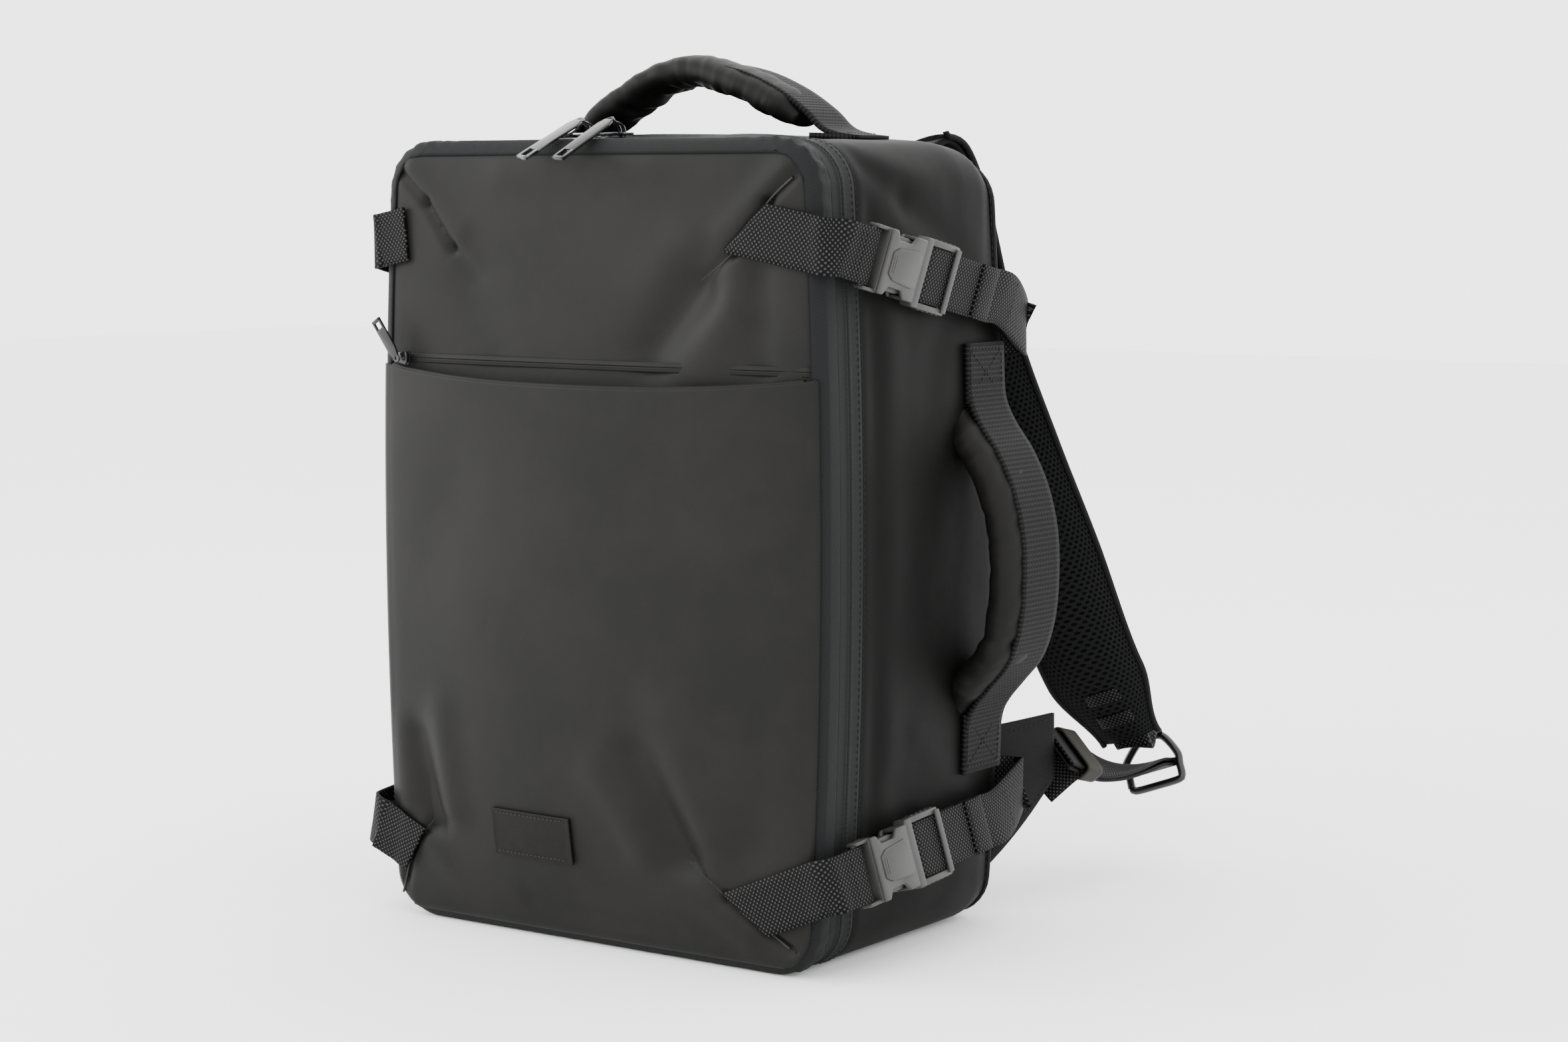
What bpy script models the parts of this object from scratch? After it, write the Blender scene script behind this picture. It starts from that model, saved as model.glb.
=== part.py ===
"""Travel backpack: a clamshell bag with a zipped front lid, four compression
straps with side-release buckles, two carry handles and two shoulder straps.

Frame: +X to the wearer's right when worn (the right of the bag seen from the front), -Y out of the
front lid, +Y out of the back panel, +Z up. The origin is on the flat base.
All lengths below are in millimetres; new_part() turns them into metres.
"""
import math

import bmesh
import bpy
from mathutils import Matrix, Vector

# ---------------------------------------------------------------- driving dimensions
BODY_WIDTH = 290.0          # at the top and the bottom of the bag
BODY_HEIGHT = 440.0
SIDE_BOW = 8.0              # how far each long side bulges outwards at mid height
CORNER_RADIUS = 26.0
Y_SEAM = -94.0              # seam round the front panel
LID_HINGE = (0.0, Y_SEAM, 0.0)          # the lid turns about X here, at the foot of the seam
Y_ZIP = -72.0               # parting line of the main zip
Y_BACK = 94.0               # outer face of the back
WALL = 4.0                  # padded fabric wall
GAP = 0.3                   # clearance between touching pieces
LID_BULGE = 9.0             # the front panel's pillow
POCKET_BULGE = 9.0          # how far the slip pocket stands off the panel
POCKET_TOP = 312.0
POCKET_BOTTOM = 14.0
POCKET_CLOTH = 2.4

WEBBING_WIDTH = 30.0
WEBBING = 1.6               # thickness of one layer
HANDLE_WEBBING_WIDTH = 38.0

BUCKLE_THICKNESS = 12.0
FEMALE_LENGTH = 44.0
MALE_LENGTH = 36.0
PRONG_DEPTH = 10.0          # how far the male's prongs reach into the female
BAR_SIZE = 1.6              # thickness of the bars that the webbing goes round

PAD_WIDTH = 62.0
PAD_THICKNESS = 11.0

# Compression straps on the +X side: mouth of the buckle, direction towards the back,
# and twist of the webbing about its own length (top edge outwards is positive).
STRAPS = {
    "upper": {"mouth": (160.5, -27.0, 371.5), "run": (0.0, 0.98, -0.19), "twist": 11.0,
              "dart": (104.0, 394.0), "hem": (154.0, 100.0, 337.0)},
    "lower": {"mouth": (161.5, -33.0, 58.5), "run": (0.0, 0.998, 0.07), "twist": -15.0,
              "dart": (104.0, 31.0), "hem": (154.0, 100.0, 76.0)},
}
SIDES = {"right": 1.0, "left": -1.0}
# share of the way from the dart to the corner at which the strap comes out of its seam
STRAP_ROOT = {"right": 0.0, "left": 0.5}

# Shoulder strap on the +X side: centre of the pad from its top seam down to its end.
PAD_PATH = [(66.5, 118, 446.5), (71, 130, 438), (78, 140, 402), (90, 150, 330), (102, 170, 263),
            (115, 196, 199), (127, 220, 130), (135, 250, 80)]
PAD_EDGE_TURN = 25.0        # how far the pad's width turns towards +Y at its lower end, degrees
HOOK_CENTRE = (143.0, 279.0, 58.0)      # middle of the hook's webbing bar
WEBBING_START = (151.0, 146.0, 91.0)    # where the lower webbing leaves its wing
TAIL_ACROSS = (0.62, 0.30, -0.70)       # across the webbing at the wing
BAR_ACROSS = (0.93, 0.0, 0.37)          # across the webbing at the hook's bar
WING_X = (131.0, 148.0)                 # the wing leans outwards from the back edge

TOP_HANDLE = (-4.0, 12.0, 448.0)        # middle of the line through the handle's feet
SIDE_HANDLE = (155.0, 57.0, 211.0)

ZIP_TOP = BODY_HEIGHT - 0.2             # outer face of the zip tape along the top
SLIDER_Y = -72.5
PULLER_Y = SLIDER_Y - 8.5               # hinge line of the two pullers
PULLER_Z = ZIP_TOP + 11.0
PULLER_SLOPE = 30.0                     # how steeply they hang over the front edge
PULLER_SIZE = (42.0, 8.5, 1.8)          # length, width, thickness
SLIDERS = {"left": (-20.5, 1.0, 16.0), "right": (0.5, -1.0, 9.0)}   # x, facing, puller's splay

POCKET_ZIP_Z = POCKET_TOP + 8.0
POCKET_SLIDER_X = -131.0                # the pocket's slider at rest
CORNER_U = -65.0                        # where a front strap turns the bag's corner

COLOURS = {
    "shell_fabric": ((0.040, 0.038, 0.035), 0.62, 0.0),
    "trim_fabric": ((0.030, 0.031, 0.034), 0.70, 0.0),
    "webbing": ((0.022, 0.022, 0.022), 0.80, 0.0),
    "zip_tape": ((0.025, 0.026, 0.028), 0.75, 0.0),
    "buckle_plastic": ((0.140, 0.138, 0.132), 0.45, 0.0),
    "gunmetal": ((0.300, 0.300, 0.310), 0.25, 1.0),
    "black_metal": ((0.030, 0.030, 0.030), 0.35, 1.0),
    "air_mesh": ((0.015, 0.015, 0.017), 0.90, 0.0),
    "rubber_patch": ((0.045, 0.043, 0.038), 0.60, 0.0),
    "elastic": ((0.055, 0.050, 0.034), 0.80, 0.0),
    "lining": ((0.090, 0.090, 0.092), 0.75, 0.0),
    "stiffener": ((0.500, 0.500, 0.500), 0.50, 0.0),
}


# ---------------------------------------------------------------- scene and helpers
def clear_scene():
    for obj in list(bpy.data.objects):
        bpy.data.objects.remove(obj, do_unlink=True)


def material(slot):
    """One Principled material for each finish, made on first use."""
    found = bpy.data.materials.get(slot)
    if found:
        return found
    colour, roughness, metallic = COLOURS[slot]
    made = bpy.data.materials.new(slot)
    made.use_nodes = True
    shader = made.node_tree.nodes["Principled BSDF"]
    shader.inputs["Base Color"].default_value = (*colour, 1.0)
    shader.inputs["Roughness"].default_value = roughness
    shader.inputs["Metallic"].default_value = metallic
    return made


def new_part(name, bm, slot, pivot=(0.0, 0.0, 0.0), smooth=True):
    """Turns a bmesh in millimetres into a named object with its origin at pivot."""
    bmesh.ops.recalc_face_normals(bm, faces=bm.faces)
    pivot = Vector(pivot)
    bmesh.ops.transform(bm, matrix=Matrix.Scale(0.001, 4) @ Matrix.Translation(-pivot), verts=bm.verts)
    mesh = bpy.data.meshes.new(name)
    bm.to_mesh(mesh)
    bm.free()
    if smooth:
        mesh.shade_smooth()
        mesh.set_sharp_from_angle(angle=math.radians(35.0))
    obj = bpy.data.objects.new(name, mesh)
    obj.location = pivot * 0.001
    bpy.context.scene.collection.objects.link(obj)
    mesh.materials.append(material(slot))
    return obj


def loft(bm, rings, closed=False):
    """Joins loops of as many points each with quads, then fills the two ends or closes the chain."""
    loops = [[bm.verts.new(point) for point in points] for points in rings]
    pairs = list(zip(loops, loops[1:]))
    if closed:
        pairs.append((loops[-1], loops[0]))
    else:
        bm.faces.new(loops[0][::-1])
        bm.faces.new(loops[-1])
    for near, far in pairs:
        for i in range(len(near)):
            j = (i + 1) % len(near)
            bm.faces.new((near[i], near[j], far[j], far[i]))


def box(bm, low, high):
    """An upright box between two corners."""
    low, high = Vector(low), Vector(high)
    made = bmesh.ops.create_cube(bm, size=1.0)["verts"]
    bmesh.ops.scale(bm, vec=high - low, verts=made)
    bmesh.ops.translate(bm, vec=(low + high) / 2, verts=made)
    return made


def ribbon(bm, path, width_way, width, thickness):
    """A flat band along a path; width_way is the direction across it, or one for each point."""
    points = [Vector(p) for p in path]
    count = len(points)
    ways = width_way if isinstance(width_way, list) else [width_way] * count
    widths = width if isinstance(width, list) else [width] * count
    rings = []
    for i, point in enumerate(points):
        before = (point - points[i - 1]).normalized() if i else None
        after = (points[i + 1] - point).normalized() if i < count - 1 else None
        along = ((before or after) + (after or before)).normalized()
        across = Vector(ways[i])
        across = (across - across.dot(along) * along).normalized()
        normal = along.cross(across)
        stretch = 1.0 / max(0.5, along.dot(after or before))
        half_w, half_t = across * widths[i] / 2, normal * thickness / 2 * stretch
        rings.append([point - half_w - half_t, point + half_w - half_t,
                      point + half_w + half_t, point - half_w + half_t])
    loft(bm, rings)


def mirrored(bm, side):
    """Turns a +X piece into its twin when side is -1."""
    if side < 0:
        bmesh.ops.transform(bm, matrix=Matrix.Scale(-1.0, 4, (1, 0, 0)), verts=bm.verts)


def combine(obj, shape, operation):
    """A Boolean of the object with a second shape given in the same millimetres as the first."""
    bmesh.ops.recalc_face_normals(shape, faces=shape.faces)
    bmesh.ops.transform(shape, matrix=Matrix.Scale(0.001, 4), verts=shape.verts)
    mesh = bpy.data.meshes.new(obj.name + "_tool")
    shape.to_mesh(mesh)
    shape.free()
    tool = bpy.data.objects.new(obj.name + "_tool", mesh)
    tool.hide_render = True
    tool.display_type = "WIRE"
    bpy.context.scene.collection.objects.link(tool)
    modifier = obj.modifiers.new(operation.lower(), "BOOLEAN")
    modifier.operation = operation
    modifier.solver = "EXACT"
    modifier.use_self = True
    modifier.object = tool


def boxes(corners):
    """Separate boxes, each from its low and high corner, in one bmesh."""
    bm = bmesh.new()
    for low, high in corners:
        box(bm, low, high)
    return bm


def placed(bm, matrix, side=1.0):
    """Moves a shape from its own frame into the bag's, on the side asked for."""
    bmesh.ops.transform(bm, matrix=matrix, verts=bm.verts)
    mirrored(bm, side)
    return bm


def on_side(point, side):
    return Vector((point[0] * side, point[1], point[2]))


# ---------------------------------------------------------------- bag outline
def half_width(z, inset=0.0):
    """Half the bag's width at a height: the long sides bow outwards."""
    middle = BODY_HEIGHT / 2
    return BODY_WIDTH / 2 - inset + SIDE_BOW * (1.0 - ((z - middle) / middle) ** 2)


def outline(y, inset, top=None, bottom=None, rise=0.0, skip_base=False):
    """The bag's cross-section at y: a rounded rectangle with bowed sides and a crowned top."""
    top = inset if top is None else top
    bottom = inset if bottom is None else bottom
    radius = max(6.0, CORNER_RADIUS - inset)
    low, high = bottom, BODY_HEIGHT - top
    right = []
    for i in range(5):
        angle = math.radians(-90.0 + 22.5 * i)
        right.append((radius * math.cos(angle), low + radius + radius * math.sin(angle)))
    for i in range(1, 6):
        right.append((radius, low + radius + (high - low - 2 * radius) * i / 6))
    for i in range(5):
        angle = math.radians(22.5 * i)
        right.append((radius * math.cos(angle), high - radius + radius * math.sin(angle)))
    right = [(half_width(z, inset) - radius + x, z) for x, z in right]
    span = right[-1][0]
    crown = [(span * u, high + rise * (1.0 - u * u)) for u in (0.5, 0.0, -0.5)]
    left = [(-x, z) for x, z in reversed(right)]
    base = [] if skip_base else [(-span * 0.4, low), (span * 0.4, low)]
    return [Vector((x, y, z)) for x, z in right + crown + left + base]


def band(bm, y_front, y_back, inset, thickness, closed):
    """A band round the bag's edge, closed right round or open along the base."""
    corners = ((y_front, inset), (y_back, inset), (y_back, inset + thickness), (y_front, inset + thickness))
    if closed:
        loft(bm, [outline(y, depth) for y, depth in corners], closed=True)
        return
    sections = list(zip(*[outline(y, depth, skip_base=True) for y, depth in corners]))
    loft(bm, sections[2:-2])


# ---------------------------------------------------------------- bag body
def make_body():
    """The tub: sides, top, base and back in one padded shell, open at the front."""
    outer = [outline(Y_ZIP + GAP, 2.0), outline(-61.0, 2.0), outline(-57.0, 0.0, rise=2.0),
             outline(-20.0, 0.0, rise=5.0), outline(45.0, 0.0, rise=5.0),
             outline(68.0, 1.0, top=3.0, bottom=0.0, rise=4.0),
             outline(83.0, 5.0, top=13.0, bottom=4.0, rise=2.0),
             outline(91.0, 11.0, top=25.0, bottom=9.0), outline(Y_BACK, 18.0, top=38.0, bottom=16.0)]
    inner = [outline(86.0, 20.0, top=40.0, bottom=18.0), outline(80.0, 11.0, top=24.0, bottom=9.0),
             outline(60.0, WALL + 1.5, top=WALL + 6.0, bottom=WALL),
             outline(Y_ZIP + GAP, WALL + 2.0, bottom=WALL)]
    bm = bmesh.new()
    loft(bm, inner + outer)
    new_part("body_shell", bm, "shell_fabric")

    bm = bmesh.new()
    band(bm, Y_ZIP + GAP, -61.4, 0.2, 1.5, False)
    new_part("zip_tape_rear", bm, "zip_tape")

    bm = bmesh.new()
    box(bm, (-118.0, -66.0, WALL + GAP), (118.0, 58.0, WALL + GAP + 3.0))
    new_part("base_board", bm, "stiffener", smooth=False)

    bm = bmesh.new()
    box(bm, (-112.0, 81.0, 30.0), (112.0, 83.0, 388.0))
    new_part("frame_sheet", bm, "stiffener", smooth=False)

    bm = bmesh.new()
    ribbon(bm, [(0, 60, 12), (0, 57, 110), (0, 52, 210), (0, 48, 300)], (1, 0, 0), 256.0, 7.0)
    new_part("laptop_sleeve", bm, "lining")


def make_back_panel():
    """Air-mesh back padding: one pad with a vent channel pressed down its middle."""
    bm = bmesh.new()
    half, channel = 108.0, 14.0
    across = [(-half, 0.0), (-half + 8, 9.0), (-channel - 8, 9.0), (-channel, 4.0),
              (channel, 4.0), (channel + 8, 9.0), (half - 8, 9.0), (half, 0.0)]
    rings = []
    for z, depth, width in ((34.0, 0.25, 0.92), (44.0, 1.0, 1.0), (370.0, 1.0, 1.0), (382.0, 0.25, 0.92)):
        face = [(x * width, Y_BACK + GAP + 2.0 + d * depth, z) for x, d in across]
        back = [(half * width, Y_BACK + GAP, z), (-half * width, Y_BACK + GAP, z)]
        rings.append(face + back)
    loft(bm, rings)
    new_part("back_pad", bm, "air_mesh")


# ---------------------------------------------------------------- front lid
def lid_face(x, z):
    """Y of the front panel's outer face: an arc across the bag, fading to its ends."""
    across = 1.0 - (x / half_width(z)) ** 2
    upright = math.sin(math.pi * min(1.0, max(0.0, z / BODY_HEIGHT))) ** 0.6
    return Y_SEAM - 2.0 - LID_BULGE * max(0.0, across) * upright


def make_lid():
    """The front panel with its gusset wall, open towards the bag."""
    def face_ring(inset, back=0.0):
        return [Vector((p.x, lid_face(p.x, p.z) + back, p.z)) for p in outline(0.0, inset)]

    outer = [outline(Y_ZIP - GAP, 3.3), outline(Y_SEAM, 3.3), face_ring(6.0), face_ring(16.0),
             face_ring(36.0), face_ring(64.0), face_ring(96.0), face_ring(126.0)]
    inner = [face_ring(126.0, WALL), face_ring(64.0, WALL), face_ring(16.0, WALL + 1.0),
             outline(Y_SEAM + 6.0, 3.3 + WALL), outline(Y_ZIP - GAP, 3.3 + WALL)]
    bm = bmesh.new()
    loft(bm, inner + outer)
    new_part("front_panel", bm, "shell_fabric", pivot=LID_HINGE)

    bm = bmesh.new()
    band(bm, Y_SEAM - 1.5, -81.0, 0.0, 3.0, True)
    new_part("zip_flap", bm, "trim_fabric", pivot=LID_HINGE)

    bm = bmesh.new()
    band(bm, -80.6, Y_ZIP - GAP, 1.5, 1.5, False)
    new_part("zip_tape_front", bm, "zip_tape", pivot=LID_HINGE)


def pocket_face(x, z):
    """Y of the slip pocket's inner face: sewn flat at the sides and the bottom, loose at the top."""
    across = max(0.0, 1.0 - (x / (half_width(z) - 8.0)) ** 2)
    upright = math.sin(math.pi / 2 * min(1.0, (z - POCKET_BOTTOM) / 110.0)) if z > POCKET_BOTTOM else 0.0
    return lid_face(x, z) - 0.8 - POCKET_BULGE * across ** 0.8 * upright


def make_slip_pocket():
    """A bellied fabric sheet sewn over the lower front, open along its top edge."""
    columns, rows = 14, 8
    bm = bmesh.new()
    rings = []
    for i in range(columns + 1):
        u = -1.0 + 2.0 * i / columns
        front, back = [], []
        for j in range(rows + 1):
            z = POCKET_BOTTOM + (POCKET_TOP - POCKET_BOTTOM) * j / rows
            corner = max(0.0, 14.0 - (z - POCKET_BOTTOM)) * 0.9
            x = u * (half_width(z) - 8.0 - corner)
            y = pocket_face(x, z)
            back.append(Vector((x, y, z)))
            front.append(Vector((x, y - POCKET_CLOTH, z)))
        rings.append(back + front[::-1])
    loft(bm, rings)
    new_part("slip_pocket", bm, "shell_fabric", pivot=LID_HINGE)


def make_patch():
    """A blank moulded patch low on the pocket, lying along its belly."""
    low, high = 46.0, 72.5
    middle = (low + high) / 2
    path = []
    for x in (-62.0, -43.0, -24.0, -5.0):
        path.append((x, pocket_face(x, middle) - POCKET_CLOTH - 1.5, middle))
    slope = (pocket_face(-33.0, high) - pocket_face(-33.0, low)) / (high - low)
    bm = bmesh.new()
    ribbon(bm, path, (0.0, slope, 1.0), high - low, 1.2)
    new_part("patch", bm, "rubber_patch", pivot=LID_HINGE, smooth=False)


def make_pocket_zip():
    """The pocket's zip, lying on the panel just above the pocket's mouth."""
    reach = half_width(POCKET_ZIP_Z) - 12.0
    path = []
    for i in range(15):
        x = -reach + 2 * reach * i / 14
        path.append((x, lid_face(x, POCKET_ZIP_Z) - 1.5, POCKET_ZIP_Z))
    bm = bmesh.new()
    ribbon(bm, path, (0, 0, 1), 9.0, 1.2)
    new_part("pocket_zip", bm, "zip_tape", pivot=LID_HINGE)


def pocket_zip_centre():
    """Centre and radius of the arc that the pocket's slider follows."""
    reach = half_width(POCKET_ZIP_Z)
    sag = lid_face(reach, POCKET_ZIP_Z) - lid_face(0.0, POCKET_ZIP_Z)
    radius = (reach * reach + sag * sag) / (2.0 * sag)
    return lid_face(0.0, POCKET_ZIP_Z) + radius, radius


# ---------------------------------------------------------------- zip sliders and pullers
def prism(bm, outline_points, low, high):
    """A flat outline in X and Y given a thickness along Z."""
    loft(bm, [[Vector((x, y, z)) for x, y in outline_points] for z in (low, high)])


def slider_shape(length, width, height):
    """A slider with a wide nose, lying along X on its base."""
    bm = bmesh.new()
    prism(bm, [(-length / 2, -width * 0.36), (length / 2, -width / 2), (length / 2, width / 2),
               (-length / 2, width * 0.36)], 0.0, height)
    return bm


def puller_shape(length, width, thickness):
    """A flat puller from its hinge along -Y, rounded at the hinge end."""
    bm = bmesh.new()
    prism(bm, [(-width * 0.33, 2.2), (-width / 2, -4.0), (-width / 2, -length), (width / 2, -length),
               (width / 2, -4.0), (width * 0.33, 2.2)], -thickness / 2, thickness / 2)
    return bm


def puller_window(length, width, thickness):
    """The rectangular window near the puller's tip and the eye at its hinge."""
    depth = thickness
    return boxes([((-width * 0.28, -length + 2.2, -depth), (width * 0.28, -length + 8.5, depth)),
                  ((-width * 0.22, -3.5, -depth), (width * 0.22, 0.2, depth))])


def make_zip_sliders():
    """Two sliders at the top centre of the main zip, each with a bridge and a hinged puller."""
    for side, (x, facing, splay) in SLIDERS.items():
        bm = slider_shape(16.0 * facing, 11.0, 4.2)
        slider = new_part("zip_slider_" + side,
                          placed(bm, Matrix.Translation((x, SLIDER_Y, ZIP_TOP + GAP))), "gunmetal",
                          pivot=(x, SLIDER_Y, ZIP_TOP), smooth=False)
        bridge = bmesh.new()
        ribbon(bridge, [(x, SLIDER_Y + 3.0, ZIP_TOP + 3.5), (x, SLIDER_Y, ZIP_TOP + 8.0),
                        (x, PULLER_Y + 3.4, PULLER_Z + 0.6)], (1, 0, 0), 4.0, 1.6)
        combine(slider, bridge, "UNION")

        turn = Matrix.Rotation(math.radians(PULLER_SLOPE), 4, "X")
        turn = turn @ Matrix.Rotation(math.radians(-splay), 4, "Z")
        place = Matrix.Translation((x, PULLER_Y, PULLER_Z)) @ turn
        puller = new_part("zip_puller_" + side, placed(puller_shape(*PULLER_SIZE), place), "gunmetal",
                          pivot=(x, PULLER_Y, PULLER_Z), smooth=False)
        combine(puller, placed(puller_window(*PULLER_SIZE), place), "DIFFERENCE")


def make_pocket_slider():
    """The pocket's slider at its left end, with a short puller that stands up past the mouth."""
    centre_y, radius = pocket_zip_centre()
    place = Matrix.Translation((0.0, centre_y, POCKET_ZIP_Z))
    place = place @ Matrix.Rotation(math.asin(POCKET_SLIDER_X / radius), 4, "Z")
    face = -radius - 1.5 - 0.6 - GAP
    lying = place @ Matrix.Translation((0.0, face, 0.0)) @ Matrix.Rotation(math.radians(90.0), 4, "X")
    new_part("pocket_slider", placed(slider_shape(10.0, 8.0, 3.6), lying), "black_metal",
             pivot=(0.0, centre_y, POCKET_ZIP_Z), smooth=False)
    stand = lying @ Matrix.Translation((0.0, 1.0, 3.6 + 3.5))
    stand = stand @ Matrix.Rotation(math.radians(180.0 + 32.0), 4, "Z")
    stand = stand @ Matrix.Rotation(math.radians(-8.0), 4, "X")
    puller = new_part("pocket_puller", placed(puller_shape(24.0, 6.5, 1.5), stand), "black_metal",
                      pivot=stand.translation, smooth=False)
    combine(puller, placed(puller_window(24.0, 6.5, 1.5), stand), "DIFFERENCE")


# ---------------------------------------------------------------- compression straps
def strap_frame(strap):
    """Matrix of a strap on the +X side: u towards the back, v across the webbing, w outwards."""
    along = Vector(strap["run"]).normalized()
    out = Vector((1.0, 0.0, 0.0))
    across = out.cross(along).normalized()
    turn = math.radians(strap["twist"])
    lifted = across * math.cos(turn) + out * math.sin(turn)
    normal = along.cross(lifted)
    frame = Matrix((along, lifted, normal)).transposed().to_4x4()
    return Matrix.Translation(Vector(strap["mouth"])) @ frame


def make_buckle(name, side, frame, hinge):
    """Side-release buckle: the female with its prong cavity, the male with two webbing bars."""
    half, body = 17.5, BUCKLE_THICKNESS / 2
    inner = WEBBING_WIDTH / 2 + GAP
    bar = BAR_SIZE / 2
    female = new_part("buckle_female_" + name,
                      placed(boxes([((-FEMALE_LENGTH, -half, -body), (0.0, half, body))]), frame, side),
                      "buckle_plastic", pivot=hinge, smooth=False)
    cuts = [((-46.0, -inner, -9.0), (-34.0, inner, 9.0)),
            ((-PRONG_DEPTH - 2.0, -15.0, -3.6), (2.0, 15.0, 3.6))]
    combine(female, placed(boxes(cuts), frame, side), "DIFFERENCE")
    bars = [((-43.5, -inner - 1.0, -bar), (-40.4, inner + 1.0, bar))]
    combine(female, placed(boxes(bars), frame, side), "UNION")

    wide = 19.0
    male = new_part("buckle_male_" + name,
                    placed(boxes([((-PRONG_DEPTH, -wide, -3.0), (MALE_LENGTH, wide, 3.0))]), frame, side),
                    "buckle_plastic", pivot=on_side(frame.translation, side), smooth=False)
    cuts = [((-12.0, low, -9.0), (GAP, high, 9.0)) for low, high in
            ((14.0, 21.0), (-21.0, -14.0), (3.0, 9.0), (-9.0, -3.0))]
    cuts.append(((8.0, -inner, -9.0), (MALE_LENGTH + 2.0, inner, 9.0)))
    combine(male, placed(boxes(cuts), frame, side), "DIFFERENCE")
    bars = [((low, -inner - 1.0, -bar), (high, inner + 1.0, bar))
            for low, high in ((14.2, 18.0), (31.5, 35.5))]
    combine(male, placed(boxes(bars), frame, side), "UNION")


def front_skin(x, z):
    """Y of the outermost fabric on the front: the slip pocket below its mouth, else the panel."""
    if z < POCKET_TOP:
        return min(lid_face(x, z), pocket_face(x, z) - POCKET_CLOTH)
    return lid_face(x, z)


def front_strap(strap, frame, root):
    """From the dart on the front panel round the bag's corner to a sewn loop on the female's bar."""
    across = frame.to_3x3() @ Vector((0.0, 1.0, 0.0))
    upright = Vector((0.0, 0.0, 1.0))
    turn = frame @ Vector((CORNER_U, 0.0, 0.0))
    dart_x, dart_z = strap["dart"]
    path, ways = [], []
    for step in (0.0, 0.41, 0.78, 1.0):
        share = root + (0.92 - root) * step
        x = dart_x + (turn.x - 3.0 - dart_x) * share
        z = dart_z + (turn.z - dart_z) * share
        y = min(front_skin(min(x, 139.0), z) - 2.4, -98.5)
        path.append(Vector((x, y, z)))
        ways.append(upright)
    fold = [(CORNER_U, 0.0), (-57.0, 1.2), (-46.0, 1.9), (-39.5, 1.9), (-37.6, 0.0), (-39.5, -1.9),
            (-46.0, -1.9), (-52.0, -1.4)]
    path += [frame @ Vector((u, 0.0, w)) for u, w in fold]
    ways += [across] * len(fold)
    return path, ways


def make_compression_straps():
    loop = [(75.0, 1.9), (12.5, 1.9), (10.6, 0.0), (12.5, -1.9), (75.0, -1.9)]
    for side_name, side in SIDES.items():
        for level, strap in STRAPS.items():
            name = level + "_" + side_name
            frame = strap_frame(strap)
            across = frame.to_3x3() @ Vector((0.0, 1.0, 0.0))
            upright = Vector((0.0, 0.0, 1.0))
            path, ways = front_strap(strap, frame, STRAP_ROOT[side_name])
            hinge = on_side(path[0], side)
            make_buckle(name, side, frame, hinge)

            bm = bmesh.new()
            ribbon(bm, path, ways, WEBBING_WIDTH, WEBBING)
            mirrored(bm, side)
            new_part("front_strap_" + name, bm, "webbing", pivot=hinge)

            bm = bmesh.new()
            ribbon(bm, [(u, 0.0, w) for u, w in loop], (0, 1, 0), WEBBING_WIDTH, WEBBING)
            new_part("adjust_loop_" + name, placed(bm, frame, side), "webbing",
                     pivot=on_side(frame.translation, side))

            hem = Vector(strap["hem"])
            path = [frame @ Vector((u, 0.0, 0.0)) for u in (58.0, 98.0)]
            fold = ((0, 0, 0), (-4.5, 4.5, 0), (-11, 3, 0), (-15.5, -2.6, 0))
            path += [hem + Vector(step) for step in fold]
            bm = bmesh.new()
            ribbon(bm, path, [across] * 2 + [upright] * 4, WEBBING_WIDTH, WEBBING)
            mirrored(bm, side)
            new_part("rear_strap_" + name, bm, "webbing")


# ---------------------------------------------------------------- carry handles
def make_handle(name, place, span, rise, full_width, sleeve_from, sleeve_to):
    """A webbing arch with tapered feet and a grip sleeve under it, in its own frame:
    X along the span, Y across the webbing, Z away from the bag."""
    arch, grip, widths = [], [], []
    steps = 12
    for i in range(steps + 1):
        angle = math.pi * (1.0 - i / steps)
        x = span / 2 * math.copysign(abs(math.cos(angle)) ** 0.75, math.cos(angle))
        z = rise * math.sin(angle) ** 0.72
        arch.append(Vector((x, 0.0, z)))
        widths.append(min(full_width, 2.0 * (3.0 + 0.6 * z)))
        if sleeve_from <= x <= sleeve_to:
            grip.append(Vector((x, 0.0, z - 1.6 - GAP - 5.5)))
    bm = bmesh.new()
    ribbon(bm, arch, (0, 1, 0), widths, 2 * WEBBING)
    new_part(name + "_webbing", placed(bm, place), "webbing", pivot=place.translation)
    bm = bmesh.new()
    ribbon(bm, grip, (0, 1, 0), full_width - 6.0, 9.0)
    new_part(name + "_sleeve", placed(bm, place), "shell_fabric", pivot=place.translation)


def make_handles():
    make_handle("top_handle", Matrix.Translation(TOP_HANDLE), 160.0, 36.0, 32.0, -70.0, 45.0)
    turned = Matrix(((0, 0, 1), (0, 1, 0), (-1, 0, 0))).to_4x4()
    make_handle("side_handle", Matrix.Translation(SIDE_HANDLE) @ turned, 168.0, 36.0,
                HANDLE_WEBBING_WIDTH, -66.0, 66.0)
    for side_name, side in SIDES.items():
        path = [(TOP_HANDLE[0] + side * reach, TOP_HANDLE[1],
                 BODY_HEIGHT + 5.0 * (1.0 - (reach / 119.0) ** 2) + 1.8) for reach in (84.0, 98.0, 110.0)]
        bm = bmesh.new()
        ribbon(bm, path, (0, 1, 0), 32.0, 2.2)
        new_part("top_handle_tab_" + side_name, bm, "webbing")
    for level, heights in (("upper", (299.0, 314.0, 329.0)), ("lower", (92.0, 107.0, 122.0))):
        path = [(half_width(z) + 1.8, SIDE_HANDLE[1], z) for z in heights]
        bm = bmesh.new()
        ribbon(bm, path, (0, 1, 0), HANDLE_WEBBING_WIDTH, 2.2)
        new_part("side_handle_tab_" + level, bm, "webbing")


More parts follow.
